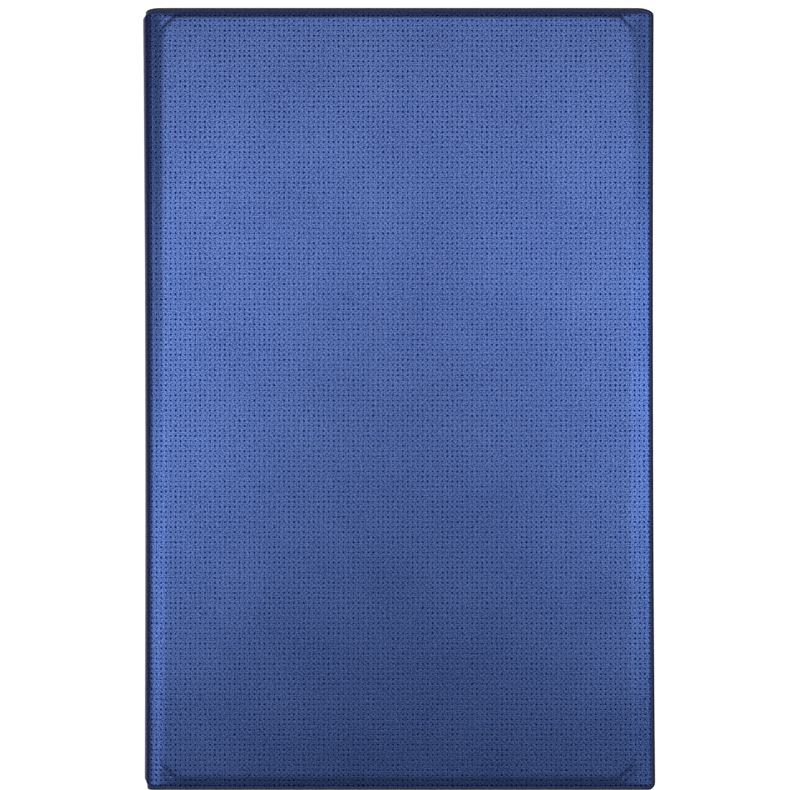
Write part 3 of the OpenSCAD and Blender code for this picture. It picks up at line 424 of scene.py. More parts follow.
KEYBOARD_FINISHES = (
    # Acetal knob of the switch: waxy, mid grey
    ("moulded_grey_acetal", "#7c8087", 0.4, 0.01, 0.08, {"Roughness": 0.4, "IOR": 1.48}, 1.0,
     "power_switch"),
    # Silicone of the dome sheet: translucent, dusty and soft
    ("dusty_silicone", "#c9cdd0", 0.5, 0.02, 0.06,
     {"Roughness": 0.6, "IOR": 1.41, "Subsurface Weight": 0.15}, 1.0, "dome_sheet"),
    # Polyester film with printed carbon and silver tracks, drawn coarse enough to show
    ("printed_contact_film", "#7d8f7a", 2.5, 0.01, 0.25, {"Roughness": 0.35, "IOR": 1.6}, 0.12,
     "circuit_sheet"),
    # Epoxy glass board under green solder resist: glossy, over a faint weave
    ("green_circuit_board", "#1f5c3a", 0.7, 0.01, 0.2,
     {"Roughness": 0.3, "IOR": 1.55, "Coat Weight": 0.3}, 1.0, "controller_board"),
    # Heat-sealed aluminium pouch of the cell: dull silver with shallow creases
    ("pouch_cell_foil", "#a9adb1", 3, 0.06, 0.1, {"Metallic": 0.85, "Roughness": 0.4}, 1.0,
     "battery_cell"),
    # Tin-plated steel shell of the socket: bright with shallow stamping marks
    ("tin_plated_shell", "#c6c8ca", 0.9, 0.01, 0.06, {"Metallic": 1.0, "Roughness": 0.28}, 1.0,
     "charging_socket"),
    # Clear acrylic light pipe, frosted at its end
    ("frosted_acrylic", "#dfe8f2", 0.3, 0.01, 0.04,
     {"Roughness": 0.35, "IOR": 1.49, "Transmission Weight": 0.5}, 1.0, "indicator_lights"),
    # Black zinc on small screws: dark, satin metal
    ("black_zinc_plate", "#3a3b3e", 0.4, 0.01, 0.1, {"Metallic": 1.0, "Roughness": 0.42}, 1.0,
     "case_screws"),
    # Die-cut silicone pads: dark grey, matt and faintly speckled with dust
    ("die_cut_silicone", "#2c2d30", 0.5, 0.02, 0.15, {"Roughness": 0.7, "IOR": 1.41}, 1.0,
     "rubber_pads"),
)


def keyboard_plastic(keys):
    """Moulded ABS of the keyboard's case: black satin with a fine eroded texture."""
    return grained("textured_black_abs", keys.case, 0.3, 0.015, 0.1,
                   {"Roughness": 0.48, "IOR": 1.54})


def cap_plastic(keys):
    """Soft-touch lacquer on moulded caps: dark, smooth and a little greasy where it shines."""
    return grained("soft_touch_caps", keys.cap, 0.5, 0.008, 0.06, {
        "Roughness": 0.42, "IOR": 1.52, "Coat Weight": 0.08, "Coat Roughness": 0.3})


def legend_ink(keys):
    """Pad-printed ink: an opaque pale grey with the print's slight unevenness."""
    return grained("pad_printed_ink", keys.legend, 0.25, 0.003, 0.05, {"Roughness": 0.5})


def finish_nodes(material, *names):
    """Gives solids their material."""
    for name in names:
        data = frame["nodes"][name].data
        if not data.materials:
            data.materials.append(material)
        for i in range(len(data.materials)):
            data.materials[i] = material


made = {}


def once(maker, settings):
    """The material that a maker makes, made on its first use."""
    if maker not in made:
        made[maker] = maker(settings)
    return made[maker]


# ---------------------------------------------------------------- the covers' shape


def end_limits(x, cover, inset):
    """Tail and head ends of the case's plan at x. Its corners are quarters of ellipses."""
    def fall(across, along):
        reach = across - inset
        from_side = np.minimum(x - SPINE_X, FREE_X - x) - inset
        past = np.clip(1 - from_side / reach, 0, 1)
        return (along - inset) * (1 - np.sqrt(1 - past**2))
    tail = TAIL_Y + inset + fall(cover.tail_corner_across, cover.tail_corner_along)
    head = HEAD_Y - inset - fall(cover.head_corner_across, cover.head_corner_along)
    return tail, head


class Wrap:
    """The covers' rim line, which runs up the case's section from the back's free edge, round
    the spine and across the front. u is the distance along it, in metres, and equals x on the
    front cover."""

    def __init__(self, cover):
        self.roll = cover.spine_roll
        self.roll_x = SPINE_X + self.roll
        self.front_z = CASE_TOP - BOARD_T
        self.back_z = TABLE_Z + BOARD_T
        arc = self.roll * math.pi / 2
        self.front = self.roll_x                 # the front panel starts here
        self.spine_top = self.front - arc        # the spine's flat ends here
        self.spine_bottom = self.spine_top - (self.front_z - self.back_z - 2 * self.roll)
        self.back = self.spine_bottom - arc      # the back panel starts here

    def of_back(self, x):
        """u of a point on the back panel."""
        return self.back - (x - self.roll_x)

    def points(self, u):
        """x, z of the rim line at each u, and its outward direction."""
        front_turn = np.clip((self.front - u) / self.roll, 0, math.pi / 2)
        back_turn = np.clip((self.spine_bottom - u) / self.roll, 0, math.pi / 2)
        up = np.clip(u, self.spine_bottom, self.spine_top) - self.spine_top
        z = self.front_z - self.roll * (1 - np.cos(front_turn)) + up - self.roll * np.sin(back_turn)
        x = (self.roll_x - self.roll * np.sin(front_turn) + self.roll * (1 - np.cos(back_turn))
             + np.clip(u - self.front, 0, None) + np.clip(self.back - u, 0, None))
        turn = front_turn + back_turn
        return x, z, -np.sin(turn), np.cos(turn)


def eased(past):
    """Goes from 0 to 1 as past does, with a soft start and end."""
    t = np.clip(past, 0, 1)
    return t * t * (3 - 2 * t)


def spaced(first, *stops):
    """Places along a line from first. Each stop is (place, how many steps lead to it), and
    "start" or "end" where those steps bunch up."""
    places = [first]
    for stop, steps, *bunch in stops:
        start = places[-1]
        for i in range(1, steps + 1):
            t = i / steps
            if "end" in bunch:
                t = math.sin(t * math.pi / 2)
            if "start" in bunch:
                t = 1 - math.cos(t * math.pi / 2)
            places.append(start + (stop - start) * t)
    return np.array(places)


def end_rows(cover, board, inset):
    """Places along the spine at which a sheet has points, close together where it bends."""
    roll, cut = cover.end_roll, cover.board_chamfer
    return spaced(
        TAIL_Y + inset, (TAIL_Y + inset + roll, 7, "start"), (board[0].y, 11),
        (board[0].y + cut, 9), (board[1].y - cut, 74), (board[1].y, 9),
        (HEAD_Y - inset - roll, 7), (HEAD_Y - inset, 7, "end"))


def pressed_height(x, y, board, slopes, cover, padded):
    """How far a board lifts the skin off the lining, in metres. slopes are the widths of its
    slopes at low x and high x. A padded height drops less at head, tail and corners, and a
    crease runs across each of its corners."""
    crease_place, crease_reach = 1.6, 1.7  # in widths of the crease, and of the board's corner
    joining = 4                            # the higher, the sharper two slopes meet
    low, high = board
    cut = cover.board_chamfer
    drops = (cover.tail_drop, cover.head_drop, cover.corner_drop) if padded else (BOARD_T,) * 3
    steps = [
        ((low.x - x) / slopes[0], BOARD_T), ((x - high.x) / slopes[1], BOARD_T),
        ((low.y - y) / cover.tail_slope, drops[0]), ((y - high.y) / cover.head_slope, drops[1]),
    ]
    creased = 0
    for side_x in (low.x - x, x - high.x):
        for side_y in (low.y - y, y - high.y):
            beyond = (side_x + side_y + cut) / math.sqrt(2)
            along = (side_x - side_y) / (crease_reach * cut)
            steps.append((beyond / cover.corner_slope, drops[2]))
            across = beyond / cover.crease_width - crease_place
            creased = creased + np.exp(-across**2 - along**4)
    drop = 0
    for past, depth in steps:
        drop = drop + (depth * eased(past))**joining
    crease = creased * cover.crease_depth if padded else 0
    return BOARD_T - np.minimum(drop**(1 / joining), BOARD_T) - crease


def rolled_down(distance, radius):
    """How far a round edge falls at a distance from it."""
    past = np.clip(radius - distance, 0, radius)
    return radius - np.sqrt(radius**2 - past**2)


def shallow_waves(x, y, cover):
    """Slight unevenness of glued leather, in metres."""
    values = [noise.noise(Vector((a / cover.wave_width, b / cover.wave_width, 0.0)))
              for a, b in zip(x.ravel(), y.ravel())]
    return np.array(values).reshape(x.shape) * cover.wave_height


def new_piece(data):
    """An object for a mesh, lamp or camera, with its name, in the scene."""
    piece = bpy.data.objects.new(data.name, data)
    bpy.context.scene.collection.objects.link(piece)
    return piece


def closed_sheet(name, outer, inner, maps):
    """A closed thin sheet from two matching grids of points. maps are its UV maps by name."""
    n, m = outer.shape[:2]
    points = np.concatenate([outer.reshape(-1, 3), inner.reshape(-1, 3)])
    place = np.arange(n * m).reshape(n, m)
    below = place + n * m
    def quads(a, b, c, d):
        return np.stack([a, b, c, d], -1).reshape(-1, 4)
    faces = [
        quads(place[:-1, :-1], place[1:, :-1], place[1:, 1:], place[:-1, 1:]),
        quads(below[:-1, :-1], below[:-1, 1:], below[1:, 1:], below[1:, :-1]),
    ]
    rim = np.concatenate([place[:, 0], place[-1, 1:], place[-2::-1, -1], place[0, -2:0:-1]])
    nxt = np.roll(rim, -1)
    faces.append(quads(rim, rim + n * m, nxt + n * m, nxt))
    faces = np.concatenate(faces)
    mesh = bpy.data.meshes.new(name)
    mesh.from_pydata(points.tolist(), [], faces.tolist())
    for title, flat in maps.items():
        uv = np.concatenate([flat.reshape(-1, 2)] * 2)[faces.ravel()]
        mesh.uv_layers.new(name=title).data.foreach_set("uv", uv.ravel().astype(np.float32))
    mesh.polygons.foreach_set("use_smooth", [True] * len(mesh.polygons))
    mesh.validate()
    mesh.update()
    return new_piece(mesh)


def wrapped_sheet(name, wrap, cover, columns, inset, faces):
    """A closed sheet along the rim line at columns. Each of its two faces, the outer one first,
    is (depth under the rim line, function that gives its rise over that depth)."""
    rows = end_rows(cover, FRONT_BOARD, inset)
    u, y_full = np.meshgrid(columns, rows, indexing="ij")
    x, z, out_x, out_z = wrap.points(u)
    share = (y_full - rows[0]) / (rows[-1] - rows[0])
    towards_edge = 2 * (x - SPINE_X) / (FREE_X - SPINE_X) - 1
    along = 2 * share - 1
    # The high powers keep this near the long edges
    drawn_in = (cover.waist * towards_edge**9 * (1 - along**2)
                + cover.lean * towards_edge**8 * along)
    grids = []
    for depth, rise in faces:
        tail, head = end_limits(x - out_x * depth, cover, inset)
        y = tail + (head - tail) * share
        height = rise(x, y, z, np.minimum(y - tail, head - y)) - depth
        grids.append(np.stack([x + out_x * height - drawn_in, y, z + out_z * height], -1))
    tail, head = end_limits(x, cover, inset)
    from_cut = np.minimum((head - tail) * np.minimum(share, 1 - share), FREE_X - inset - x)
    return closed_sheet(name, grids[0], grids[1], {
        SURFACE_MAP: np.stack([u, grids[0][..., 1]], -1),
        EDGE_MAP: np.stack([from_cut, 0 * from_cut], -1)})


def leather_faces(cover, pressed):
    """The leather's outer and inner face. pressed(x, y, padded) is the lift of its raised
    fields: padded for the outer face, full for the inner one, which lies on the lining."""
    thinnest = 0.06  # share of the leather's thickness that the padding and rolls leave

    def outer(x, y, z, from_end):
        on_panel = x > SPINE_X + cover.spine_roll
        from_free = np.where(on_panel, FREE_X - cover.trim - x, 1.0)
        fall = np.maximum(rolled_down(from_end, cover.end_roll),
                          rolled_down(from_free, cover.edge_roll))
        top = pressed(x, y, True) + shallow_waves(x, y, cover) - fall
        return np.maximum(top, pressed(x, y, False) - SKIN_T * (1 - thinnest))

    def inner(x, y, z, from_end):
        return pressed(x, y, False)

    return (0.0, outer), (SKIN_T, inner)


def leather_sheet(name, scene, wrap, columns, pressed):
    """A sheet of leather along the rim line, in its material."""
    cover = scene.case_cover
    piece = wrapped_sheet(name, wrap, cover, columns, cover.trim, leather_faces(cover, pressed))
    piece.data.materials.append(once(pearl_leather, scene.case_leather))
    return piece


def lining_faces(cover):
    """The lining's outer and inner face. It steps in over the board of the spine."""
    def over_board(z):
        low, high = SPINE_BOARD[0].z, SPINE_BOARD[1].z
        return 1 - eased(np.maximum(low - z, z - high) / cover.small_slope)

    def outer(x, y, z, from_end):
        return -BOARD_T * over_board(z) * (x < SPINE_X + MM)

    def inner(x, y, z, from_end):
        soft = rolled_down(from_end, LINING_T / 2)
        return soft - BOARD_T * over_board(z) * (x < SPINE_X + MM)

    return (SKIN_T, outer), (MARGIN_T, inner)


def front_columns(cover, wrap, inset):
    """Places from the top of the spine across the front cover."""
    low, high = FRONT_BOARD[0].x, FRONT_BOARD[1].x
    cut, edge = cover.board_chamfer, FREE_X - inset
    return spaced(
        wrap.spine_top, (wrap.front, 16), (low - cover.spine_slope, 1), (low, 12),
        (low + cut, 9), (high - cut, 56), (high, 9), (edge - cover.edge_roll, 14),
        (edge, 9, "end"))


def spine_columns(cover, wrap, inset):
    """Places from the strip under the tray round the foot of the spine and up it."""
    return spaced(wrap.of_back(ANCHOR_EDGE_X - inset), (wrap.back, 12), (wrap.spine_bottom, 16),
                  (wrap.spine_top, 24))


def back_columns(cover, wrap, inset):
    """Places across the back panel: the stand flap, its fold and the part under the tray."""
    flap, back, cut = FLAP_BOARD, BACK_BOARD, cover.board_chamfer
    slope, edge = cover.small_slope, FREE_X - inset
    crease = 1.5 * MM
    places = spaced(
        FLAP_EDGE_X + inset, (flap[0].x - slope, 3), (flap[0].x, 7), (flap[0].x + cut, 4),
        (flap[1].x - cut, 20), (flap[1].x, 4), (flap[1].x + slope, 7), (FLAP_FOLD_X - crease, 3),
        (FLAP_FOLD_X + crease, 16), (back[0].x - slope, 2), (back[0].x, 7),
        (back[0].x + cut, 4), (back[1].x - cut, 28), (back[1].x, 4),
        (back[1].x + cover.free_slope, 12), (edge - cover.edge_roll, 2), (edge, 9, "end"))
    return wrap.of_back(places[::-1])


def cut_camera_window(piece):
    """Cuts the window for the tablet's camera through a panel."""
    around, corner, steps = 1 * MM, 3 * MM, 8
    beyond = 5 * MM  # how far the cutter reaches past the table's height
    low, high = (Vector(c) for c in CAMERA_OPENING)
    centre, half = (low + high) / 2, (high - low) / 2 + Vector((around, around, 0))
    outline = []
    for quarter, (sx, sy) in enumerate(((1, 1), (-1, 1), (-1, -1), (1, -1))):
        for i in range(steps + 1):
            angle = (quarter + i / steps) * math.pi / 2
            outline.append((centre.x + sx * (half.x - corner) + corner * math.cos(angle),
                            centre.y + sy * (half.y - corner) + corner * math.sin(angle)))
    n = len(outline)
    points = [(x, y, z) for z in (TABLE_Z - beyond, TABLE_Z + beyond) for x, y in outline]
    faces = [(i, (i + 1) % n, n + (i + 1) % n, n + i) for i in range(n)]
    faces += [tuple(range(n - 1, -1, -1)), tuple(range(n, 2 * n))]
    mesh = bpy.data.meshes.new("window_cutter")
    mesh.from_pydata(points, [], faces)
    cutter = new_piece(mesh)
    cut = piece.modifiers.new("window", "BOOLEAN")
    cut.object, cut.operation, cut.solver = cutter, "DIFFERENCE", "EXACT"
    settle(piece)
    bpy.data.objects.remove(cutter)


def settle(piece):
    """Turns a piece's modifiers into plain mesh."""
    bpy.context.view_layer.update()
    evaluated = piece.evaluated_get(bpy.context.evaluated_depsgraph_get())
    mesh = bpy.data.meshes.new_from_object(evaluated)
    piece.modifiers.clear()
    piece.data = mesh
    mesh.name = piece.name


def bend_front(piece, wrap):
    """Bakes the front sheet's placement into its mesh; its roll at the spine's top is as built."""
    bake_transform(piece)


def bend_spine(piece, wrap):
    """Bakes the spine sheet's placement into its mesh; its roll at the spine's foot is as built."""
    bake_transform(piece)


def bend_flap(piece, wrap):
    """Bakes the back sheet's placement into its mesh; it does not bend at the flap's crease."""
    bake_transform(piece)


# ---------------------------------------------------------------- keys

ROWS = {
    "function_keys": [f"F{i}" for i in range(1, 13)],
    "number_keys": ["`~", "1!", "2@", "3#", "4$", "5%", "6^", "7&", "8*", "9(", "0)", "-_", "=+"],
    "upper_letter_keys": list("QWERTYUIOP") + ["[{", "]}"],
    "home_letter_keys": list("ASDFGHJKL") + [";:", "'\""],
    "lower_letter_keys": list("ZXCVBNM") + [",<", ".>", "/?"],
    "escape_key": ["esc"],
    "backspace_key": ["backspace"],
    "tab_key": ["tab"],
    "backslash_key": ["\\|"],
    "caps_lock_key": ["caps lock"],
    "enter_key": ["enter"],
    "left_shift_key": ["shift"],
    "right_shift_key": ["shift"],
    "fn_key": ["fn"],
    "control_key": ["ctrl"],
    "left_alt_key": ["alt"],
    "left_menu_key": ["menu"],
    "space_bar": [""],
    "right_menu_key": ["menu"],
    "right_alt_key": ["alt"],
    "left_arrow_key": ["<-"],
    "up_arrow_key": ["^^"],
    "down_arrow_key": ["vv"],
    "right_arrow_key": ["->"],
}
ARROWS = {"->": 0, "^^": 90, "<-": 180, "vv": 270}
HOME_BUMPS = [3, 6]


def key_places(node, count, keys):
    """Centres of a node's keys, at the caps' foot, and their width and depth. The keyboard lies
    face down, with the user's right towards the tail and the far side towards the spine."""
    low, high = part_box(node)
    pitch = (high.y - low.y + keys.rim_gap) / count
    depth = high.x - low.x + keys.rim_gap - keys.key_gap
    first = high.y + keys.rim_gap / 2 - pitch / 2
    centres = [((low.x + high.x) / 2, first - i * pitch) for i in range(count)]
    return centres, pitch - keys.key_gap, depth


def key_cap_tree(steps):
    """Geometry nodes: on each point stands a cap with round corners and a rounded top edge."""
    tree = bpy.data.node_groups.new("Key caps", "GeometryNodeTree")
    sockets = {"Points": "Geometry", "Width": "Float", "Depth": "Float", "Height": "Float",
               "Corner": "Float", "Edge": "Float", "Material": "Material"}
    for name, kind in sockets.items():
        tree.interface.new_socket(name, in_out="INPUT", socket_type=f"NodeSocket{kind}")
    tree.interface.new_socket("Caps", in_out="OUTPUT", socket_type="NodeSocketGeometry")
    given = add(tree, "NodeGroupInput").outputs
    outline = add(tree, "GeometryNodeCurvePrimitiveQuadrilateral",
                  {"Width": given["Depth"], "Height": given["Width"]})
    rounded = add(tree, "GeometryNodeFilletCurve",
                  {"Curve": outline, "Radius": given["Corner"], "Count": 5}, mode="POLY")
    foot = add(tree, "GeometryNodeFillCurve", {"Curve": rounded}, mode="NGONS")
    rise = add(tree, MATH, {0: given["Height"], 1: given["Edge"]}, operation="SUBTRACT")
    up = (0.0, 0.0, 1.0)
    block = add(tree, "GeometryNodeExtrudeMesh",
                {"Mesh": foot, "Offset": up, "Offset Scale": rise}, mode="FACES")
    mesh, top = block.outputs["Mesh"], block.outputs["Top"]
    # The top face's points move away from the core inside the round corners
    reach = []
    for side in ("Depth", "Width"):
        half = add(tree, MATH, {0: given[side], 1: 0.5}, operation="MULTIPLY")
        reach.append(add(tree, MATH, {0: half, 1: given["Corner"]}, operation="SUBTRACT"))
    core = add(tree, "ShaderNodeCombineXYZ", {"X": reach[0], "Y": reach[1], "Z": 1.0})
    opposite = add(tree, VECTOR_MATH, {0: core, 1: (-1.0,) * 3}, operation="MULTIPLY")
    place = add(tree, "GeometryNodeInputPosition")
    below = add(tree, VECTOR_MATH, {0: place, 1: core}, operation="MINIMUM")
    inside = add(tree, VECTOR_MATH, {0: below, 1: opposite}, operation="MAXIMUM")
    apart = add(tree, VECTOR_MATH, {0: place, 1: inside}, operation="SUBTRACT")
    away = add(tree, VECTOR_MATH, {0: apart}, operation="NORMALIZE")
    for step in range(steps):
        low, high = (k / steps * math.pi / 2 for k in (step, step + 1))
        climb, tuck = (
            add(tree, MATH, {0: given["Edge"], 1: share}, operation="MULTIPLY")
            for share in (math.sin(high) - math.sin(low), math.cos(high) - math.cos(low)))
        block = add(tree, "GeometryNodeExtrudeMesh", {
            "Mesh": mesh, "Selection": top, "Offset": up, "Offset Scale": climb}, mode="FACES")
        top = block.outputs["Top"]
        move = add(tree, VECTOR_MATH, {0: away, "Scale": tuck}, operation="SCALE")
        mesh = add(tree, "GeometryNodeSetPosition", {
            "Geometry": block.outputs["Mesh"], "Selection": top, "Offset": move})
    underside = add(tree, "GeometryNodeFlipFaces", {"Mesh": foot})
    both = add(tree, "GeometryNodeJoinGeometry", {"Geometry": mesh})
    tree.links.new(underside.outputs[0], both.inputs["Geometry"])
    closed = add(tree, "GeometryNodeMergeByDistance", {
        "Geometry": both, "Distance": 0.001 * MM})
    caps = add(tree, "GeometryNodeInstanceOnPoints", {
        "Points": given["Points"], "Instance": closed, "Rotation": (math.pi, 0.0, 0.0)})
    real = add(tree, "GeometryNodeRealizeInstances", {"Geometry": caps})
    painted = add(tree, "GeometryNodeSetMaterial", {
        "Geometry": real, "Material": given["Material"]})
    add(tree, "NodeGroupOutput", {"Caps": painted})
    return tree


def grow_caps(name, places, foot_z, tree, sizes):
    """A piece of caps that stand on points. sizes are the tree's named inputs."""
    mesh = bpy.data.meshes.new(name)
    mesh.from_pydata([(x, y, foot_z) for x, y in places], [], [])
    piece = new_piece(mesh)
    nodes = piece.modifiers.new("caps", "NODES")
    nodes.node_group = tree
    for item in tree.interface.items_tree:
        if item.in_out == "INPUT" and item.name in sizes:
            nodes[item.identifier] = sizes[item.name]
    settle(piece)
    piece.data.polygons.foreach_set("use_smooth", [True] * len(piece.data.polygons))
    piece.data.set_sharp_from_angle(angle=math.radians(25))
    return piece


def arrow_outline(turn, size):
    """Mesh of a printed arrow head, turned by a number of degrees."""
    angles = (math.radians(turn + corner) for corner in (0, 130, 230))
    points = [(size * math.cos(a), size * math.sin(a), 0.0) for a in angles]
    mesh = bpy.data.meshes.new("arrow")
    mesh.from_pydata(points, [], [(0, 1, 2)])
    return mesh


def lettering(text, size, across, along):
    """Mesh of one printed word or sign, flat, anchored at its corner or its middle."""
    curve = bpy.data.curves.new("legend", "FONT")
    curve.body, curve.size = text, size
    curve.align_x, curve.align_y = across, along
    curve.resolution_u = 3
    carrier = bpy.data.objects.new("legend", curve)
    bpy.context.scene.collection.objects.link(carrier)
    bpy.context.view_layer.update()
    depsgraph = bpy.context.evaluated_depsgraph_get()
    mesh = bpy.data.meshes.new_from_object(carrier.evaluated_get(depsgraph))
    bpy.data.objects.remove(carrier)
    bpy.data.curves.remove(curve)
    return mesh


def key_signs(label, width, depth, keys):
    """The printed signs of one cap, as (mesh, right, up) from the cap's middle."""
    beside, under, over = 2.4 * MM, 2.6 * MM, 2.4 * MM  # from the cap's sides to its signs
    second = 0.4 * MM                                   # a lower sign's drop under a single one
    shallow = 8 * MM                                    # only the top row's caps are less deep
    arrow = 1.1 * MM
    left, low, high = beside - width / 2, under - depth / 2, depth / 2 - over
    if not label:
        return []
    if label in ARROWS:
        return [(arrow_outline(ARROWS[label], arrow), 0.0, 0.0)]
    if len(label) == 1:
        return [(lettering(label, keys.letter, "LEFT", "TOP"), left, high)]
    if depth < shallow:
        return [(lettering(label, keys.word, "CENTER", "CENTER"), 0.0, 0.0)]
    if len(label) == 2 and not label.isalpha():
        return [(lettering(label[0], keys.letter, "LEFT", "BOTTOM"), left, low - second),
                (lettering(label[1], keys.word, "LEFT", "TOP"), left, high)]
    return [(lettering(label, keys.word, "LEFT", "BOTTOM"), left, low)]


def print_legends(node, labels, keys):
    """One piece with all the legends of a node's caps, printed on their outer faces."""
    places, width, depth = key_places(node, len(labels), keys)
    face_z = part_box(node)[0].z
    shape = bmesh.new()
    for (x, y), label in zip(places, labels):
        for mesh, right, up in key_signs(label, width, depth, keys):
            mesh.transform(Matrix((
                (0, -1, 0, x - up), (-1, 0, 0, y - right), (0, 0, -1, face_z), (0, 0, 0, 1))))
            shape.from_mesh(mesh)
            bpy.data.meshes.remove(mesh)
    if not shape.faces:
        shape.free()
        return None
    flat = bpy.data.meshes.new(f"{node}_legends")
    shape.to_mesh(flat)
    shape.free()
    piece = new_piece(flat)
    thick = piece.modifiers.new("ink", "SOLIDIFY")
    thick.thickness, thick.offset = keys.ink, 1.0
    settle(piece)
    return piece


# ---------------------------------------------------------------- stage


# The soft boxes: name, place, the point each is turned towards, width and height, all in
# metres, power in watts and colour. They leave the tail end darker than the head.
LAMPS = (
    ("overhead", (0.01, 0.17, 0.56), (0.0, 0.04, 0.0), 0.36, 0.3, 0.53, "#ffffff"),
    ("left_box", (-0.2, 0.0, 0.56), (-0.04, 0.0, 0.0), 0.28, 0.2, 0.71, "#f2fcff"),
    ("right_box", (0.19, 0.0, 0.56), (0.04, 0.0, 0.0), 0.28, 0.2, 0.50, "#f2fcff"),
    ("left_wing", (-0.48, -0.1, 0.54), (-0.1, -0.02, 0.0), 0.2, 0.26, 0.73, "#e6f6ff"),
    ("right_wing", (0.45, 0.0, 0.56), (0.1, 0.02, 0.0), 0.2, 0.36, 0.92, "#e6f6ff"),
)


def area_light(name, place, aim, width, height, power, tint):
    """A soft box, turned towards aim."""
    lamp = bpy.data.lights.new(name, "AREA")
    lamp.shape, lamp.size, lamp.size_y = "RECTANGLE", width, height
    lamp.energy, lamp.color = power, linear(tint)[:3]
    box = new_piece(lamp)
    box.location = place
    box.rotation_euler = (Vector(aim) - Vector(place)).to_track_quat("-Z", "Y").to_euler()


def seen_rays(tree):
    """1 for what the camera, a gloss or clear plastic sees, 0 for light on the object."""
    path = add(tree, "ShaderNodeLightPath").outputs
    either = add(tree, MATH, {0: path["Is Camera Ray"], 1: path["Is Glossy Ray"]},
                 operation="MAXIMUM")
    return add(tree, MATH, {0: either, 1: path["Is Transmission Ray"]}, operation="MAXIMUM")


def floor_paint(stage):
    """Pale painted board, lifted to white for the eye, which keeps a faint shadow. It is clear
    from below, so that the stand flap can be looked at as it swings out."""
    lift = 0.72  # what the paint lacks to white in this light
    material, tree = start_nodes(bpy.data.materials, "pale_floor")
    paint = add(tree, "ShaderNodeBsdfDiffuse", {"Color": stage.floor})
    lifted = add(tree, MATH, {0: seen_rays(tree), 1: lift}, operation="MULTIPLY")
    glow = add(tree, "ShaderNodeEmission", {"Color": (1, 1, 1, 1), "Strength": lifted})
    top = add(tree, "ShaderNodeAddShader", {0: paint, 1: glow})
    clear = add(tree, "ShaderNodeBsdfTransparent")
    side = add(tree, "ShaderNodeNewGeometry").outputs["Backfacing"]
    both = add(tree, "ShaderNodeMixShader", {0: side, 1: top, 2: clear})
    add(tree, "ShaderNodeOutputMaterial", {"Surface": both})
    return material


def studio_world():
    """A room with pale walls and a dark ceiling that looks white to the eye. Its low half,
    where a table goes on, is white for gloss and clear plastic too."""
    ceiling, walls = 0.045, 0.22
    ceiling_from, walls_to = 0.65, 0.15  # heights on the unit sphere where these start
    world, tree = start_nodes(bpy.data.worlds, "studio")
    way = add(tree, "ShaderNodeTexCoord").outputs["Generated"]
    up = add(tree, "ShaderNodeSeparateXYZ", {0: way}).outputs["Z"]
    wall = add(tree, "ShaderNodeMapRange", {
        "Value": up, "From Min": ceiling_from, "From Max": walls_to,
        "To Min": ceiling, "To Max": walls}, interpolation_type="SMOOTHSTEP")
    room = add(tree, "ShaderNodeBackground", {"Color": linear("#dcd0ff"), "Strength": wall})
    white = add(tree, "ShaderNodeBackground", {"Color": (1, 1, 1, 1), "Strength": 1.0})
    low = add(tree, MATH, {0: up, 1: 0.0}, operation="LESS_THAN")
    mirrored = add(tree, MATH, {0: seen_rays(tree), 1: low}, operation="MULTIPLY")
    eye = add(tree, "ShaderNodeLightPath").outputs["Is Camera Ray"]
    seen = add(tree, MATH, {0: mirrored, 1: eye}, operation="MAXIMUM")
    both = add(tree, "ShaderNodeMixShader", {0: seen, 1: room, 2: white})
    add(tree, "ShaderNodeOutputWorld", {"Surface": both})
    return world


# ---------------------------------------------------------------- operators


class CASE_OT_front_leather(bpy.types.Operator):
    """Presses the leather of the front cover, with its roll down to the spine"""

    bl_idname = "keyboard_case.front_leather"
    bl_label = "Front leather"

    def execute(self, context):
        cover = context.scene.case_cover
        wrap = Wrap(cover)
        slopes = cover.spine_slope, cover.free_slope

        def pressed(x, y, padded):
            return pressed_height(x, y, FRONT_BOARD, slopes, cover, padded)

        piece = leather_sheet("front_leather", context.scene, wrap,
                              front_columns(cover, wrap, cover.trim), pressed)
        bend_front(piece, wrap)
        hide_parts("front_cover_skin")
        return {"FINISHED"}


class CASE_OT_spine_leather(bpy.types.Operator):
    """Wraps the leather round the spine and on to the strip under the tray"""

    bl_idname = "keyboard_case.spine_leather"
    bl_label = "Spine leather"

    def execute(self, context):
        cover = context.scene.case_cover
        wrap = Wrap(cover)

        def flat(x, y, padded):
            return 0 * x

        piece = leather_sheet("spine_leather", context.scene, wrap,
                              spine_columns(cover, wrap, 0.0), flat)
        bend_spine(piece, wrap)
        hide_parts("spine_skin", "anchor_strip_skin")
        return {"FINISHED"}


class CASE_OT_back_leather(bpy.types.Operator):
    """Presses the leather of the back cover and the stand flap, which meet at a crease"""

    bl_idname = "keyboard_case.back_leather"
    bl_label = "Back leather"

    def execute(self, context):
        cover = context.scene.case_cover
        wrap = Wrap(cover)
        small = cover.small_slope

        def pressed(x, y, padded):
            return np.maximum(
                pressed_height(x, y, BACK_BOARD, (small, cover.free_slope), cover, padded),
                pressed_height(x, y, FLAP_BOARD, (small, small), cover, padded))

        piece = leather_sheet("back_leather", context.scene, wrap,
                              back_columns(cover, wrap, cover.trim), pressed)
        cut_camera_window(piece)
        bend_flap(piece, wrap)
        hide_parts("back_cover_skin", "stand_flap_skin")
        return {"FINISHED"}


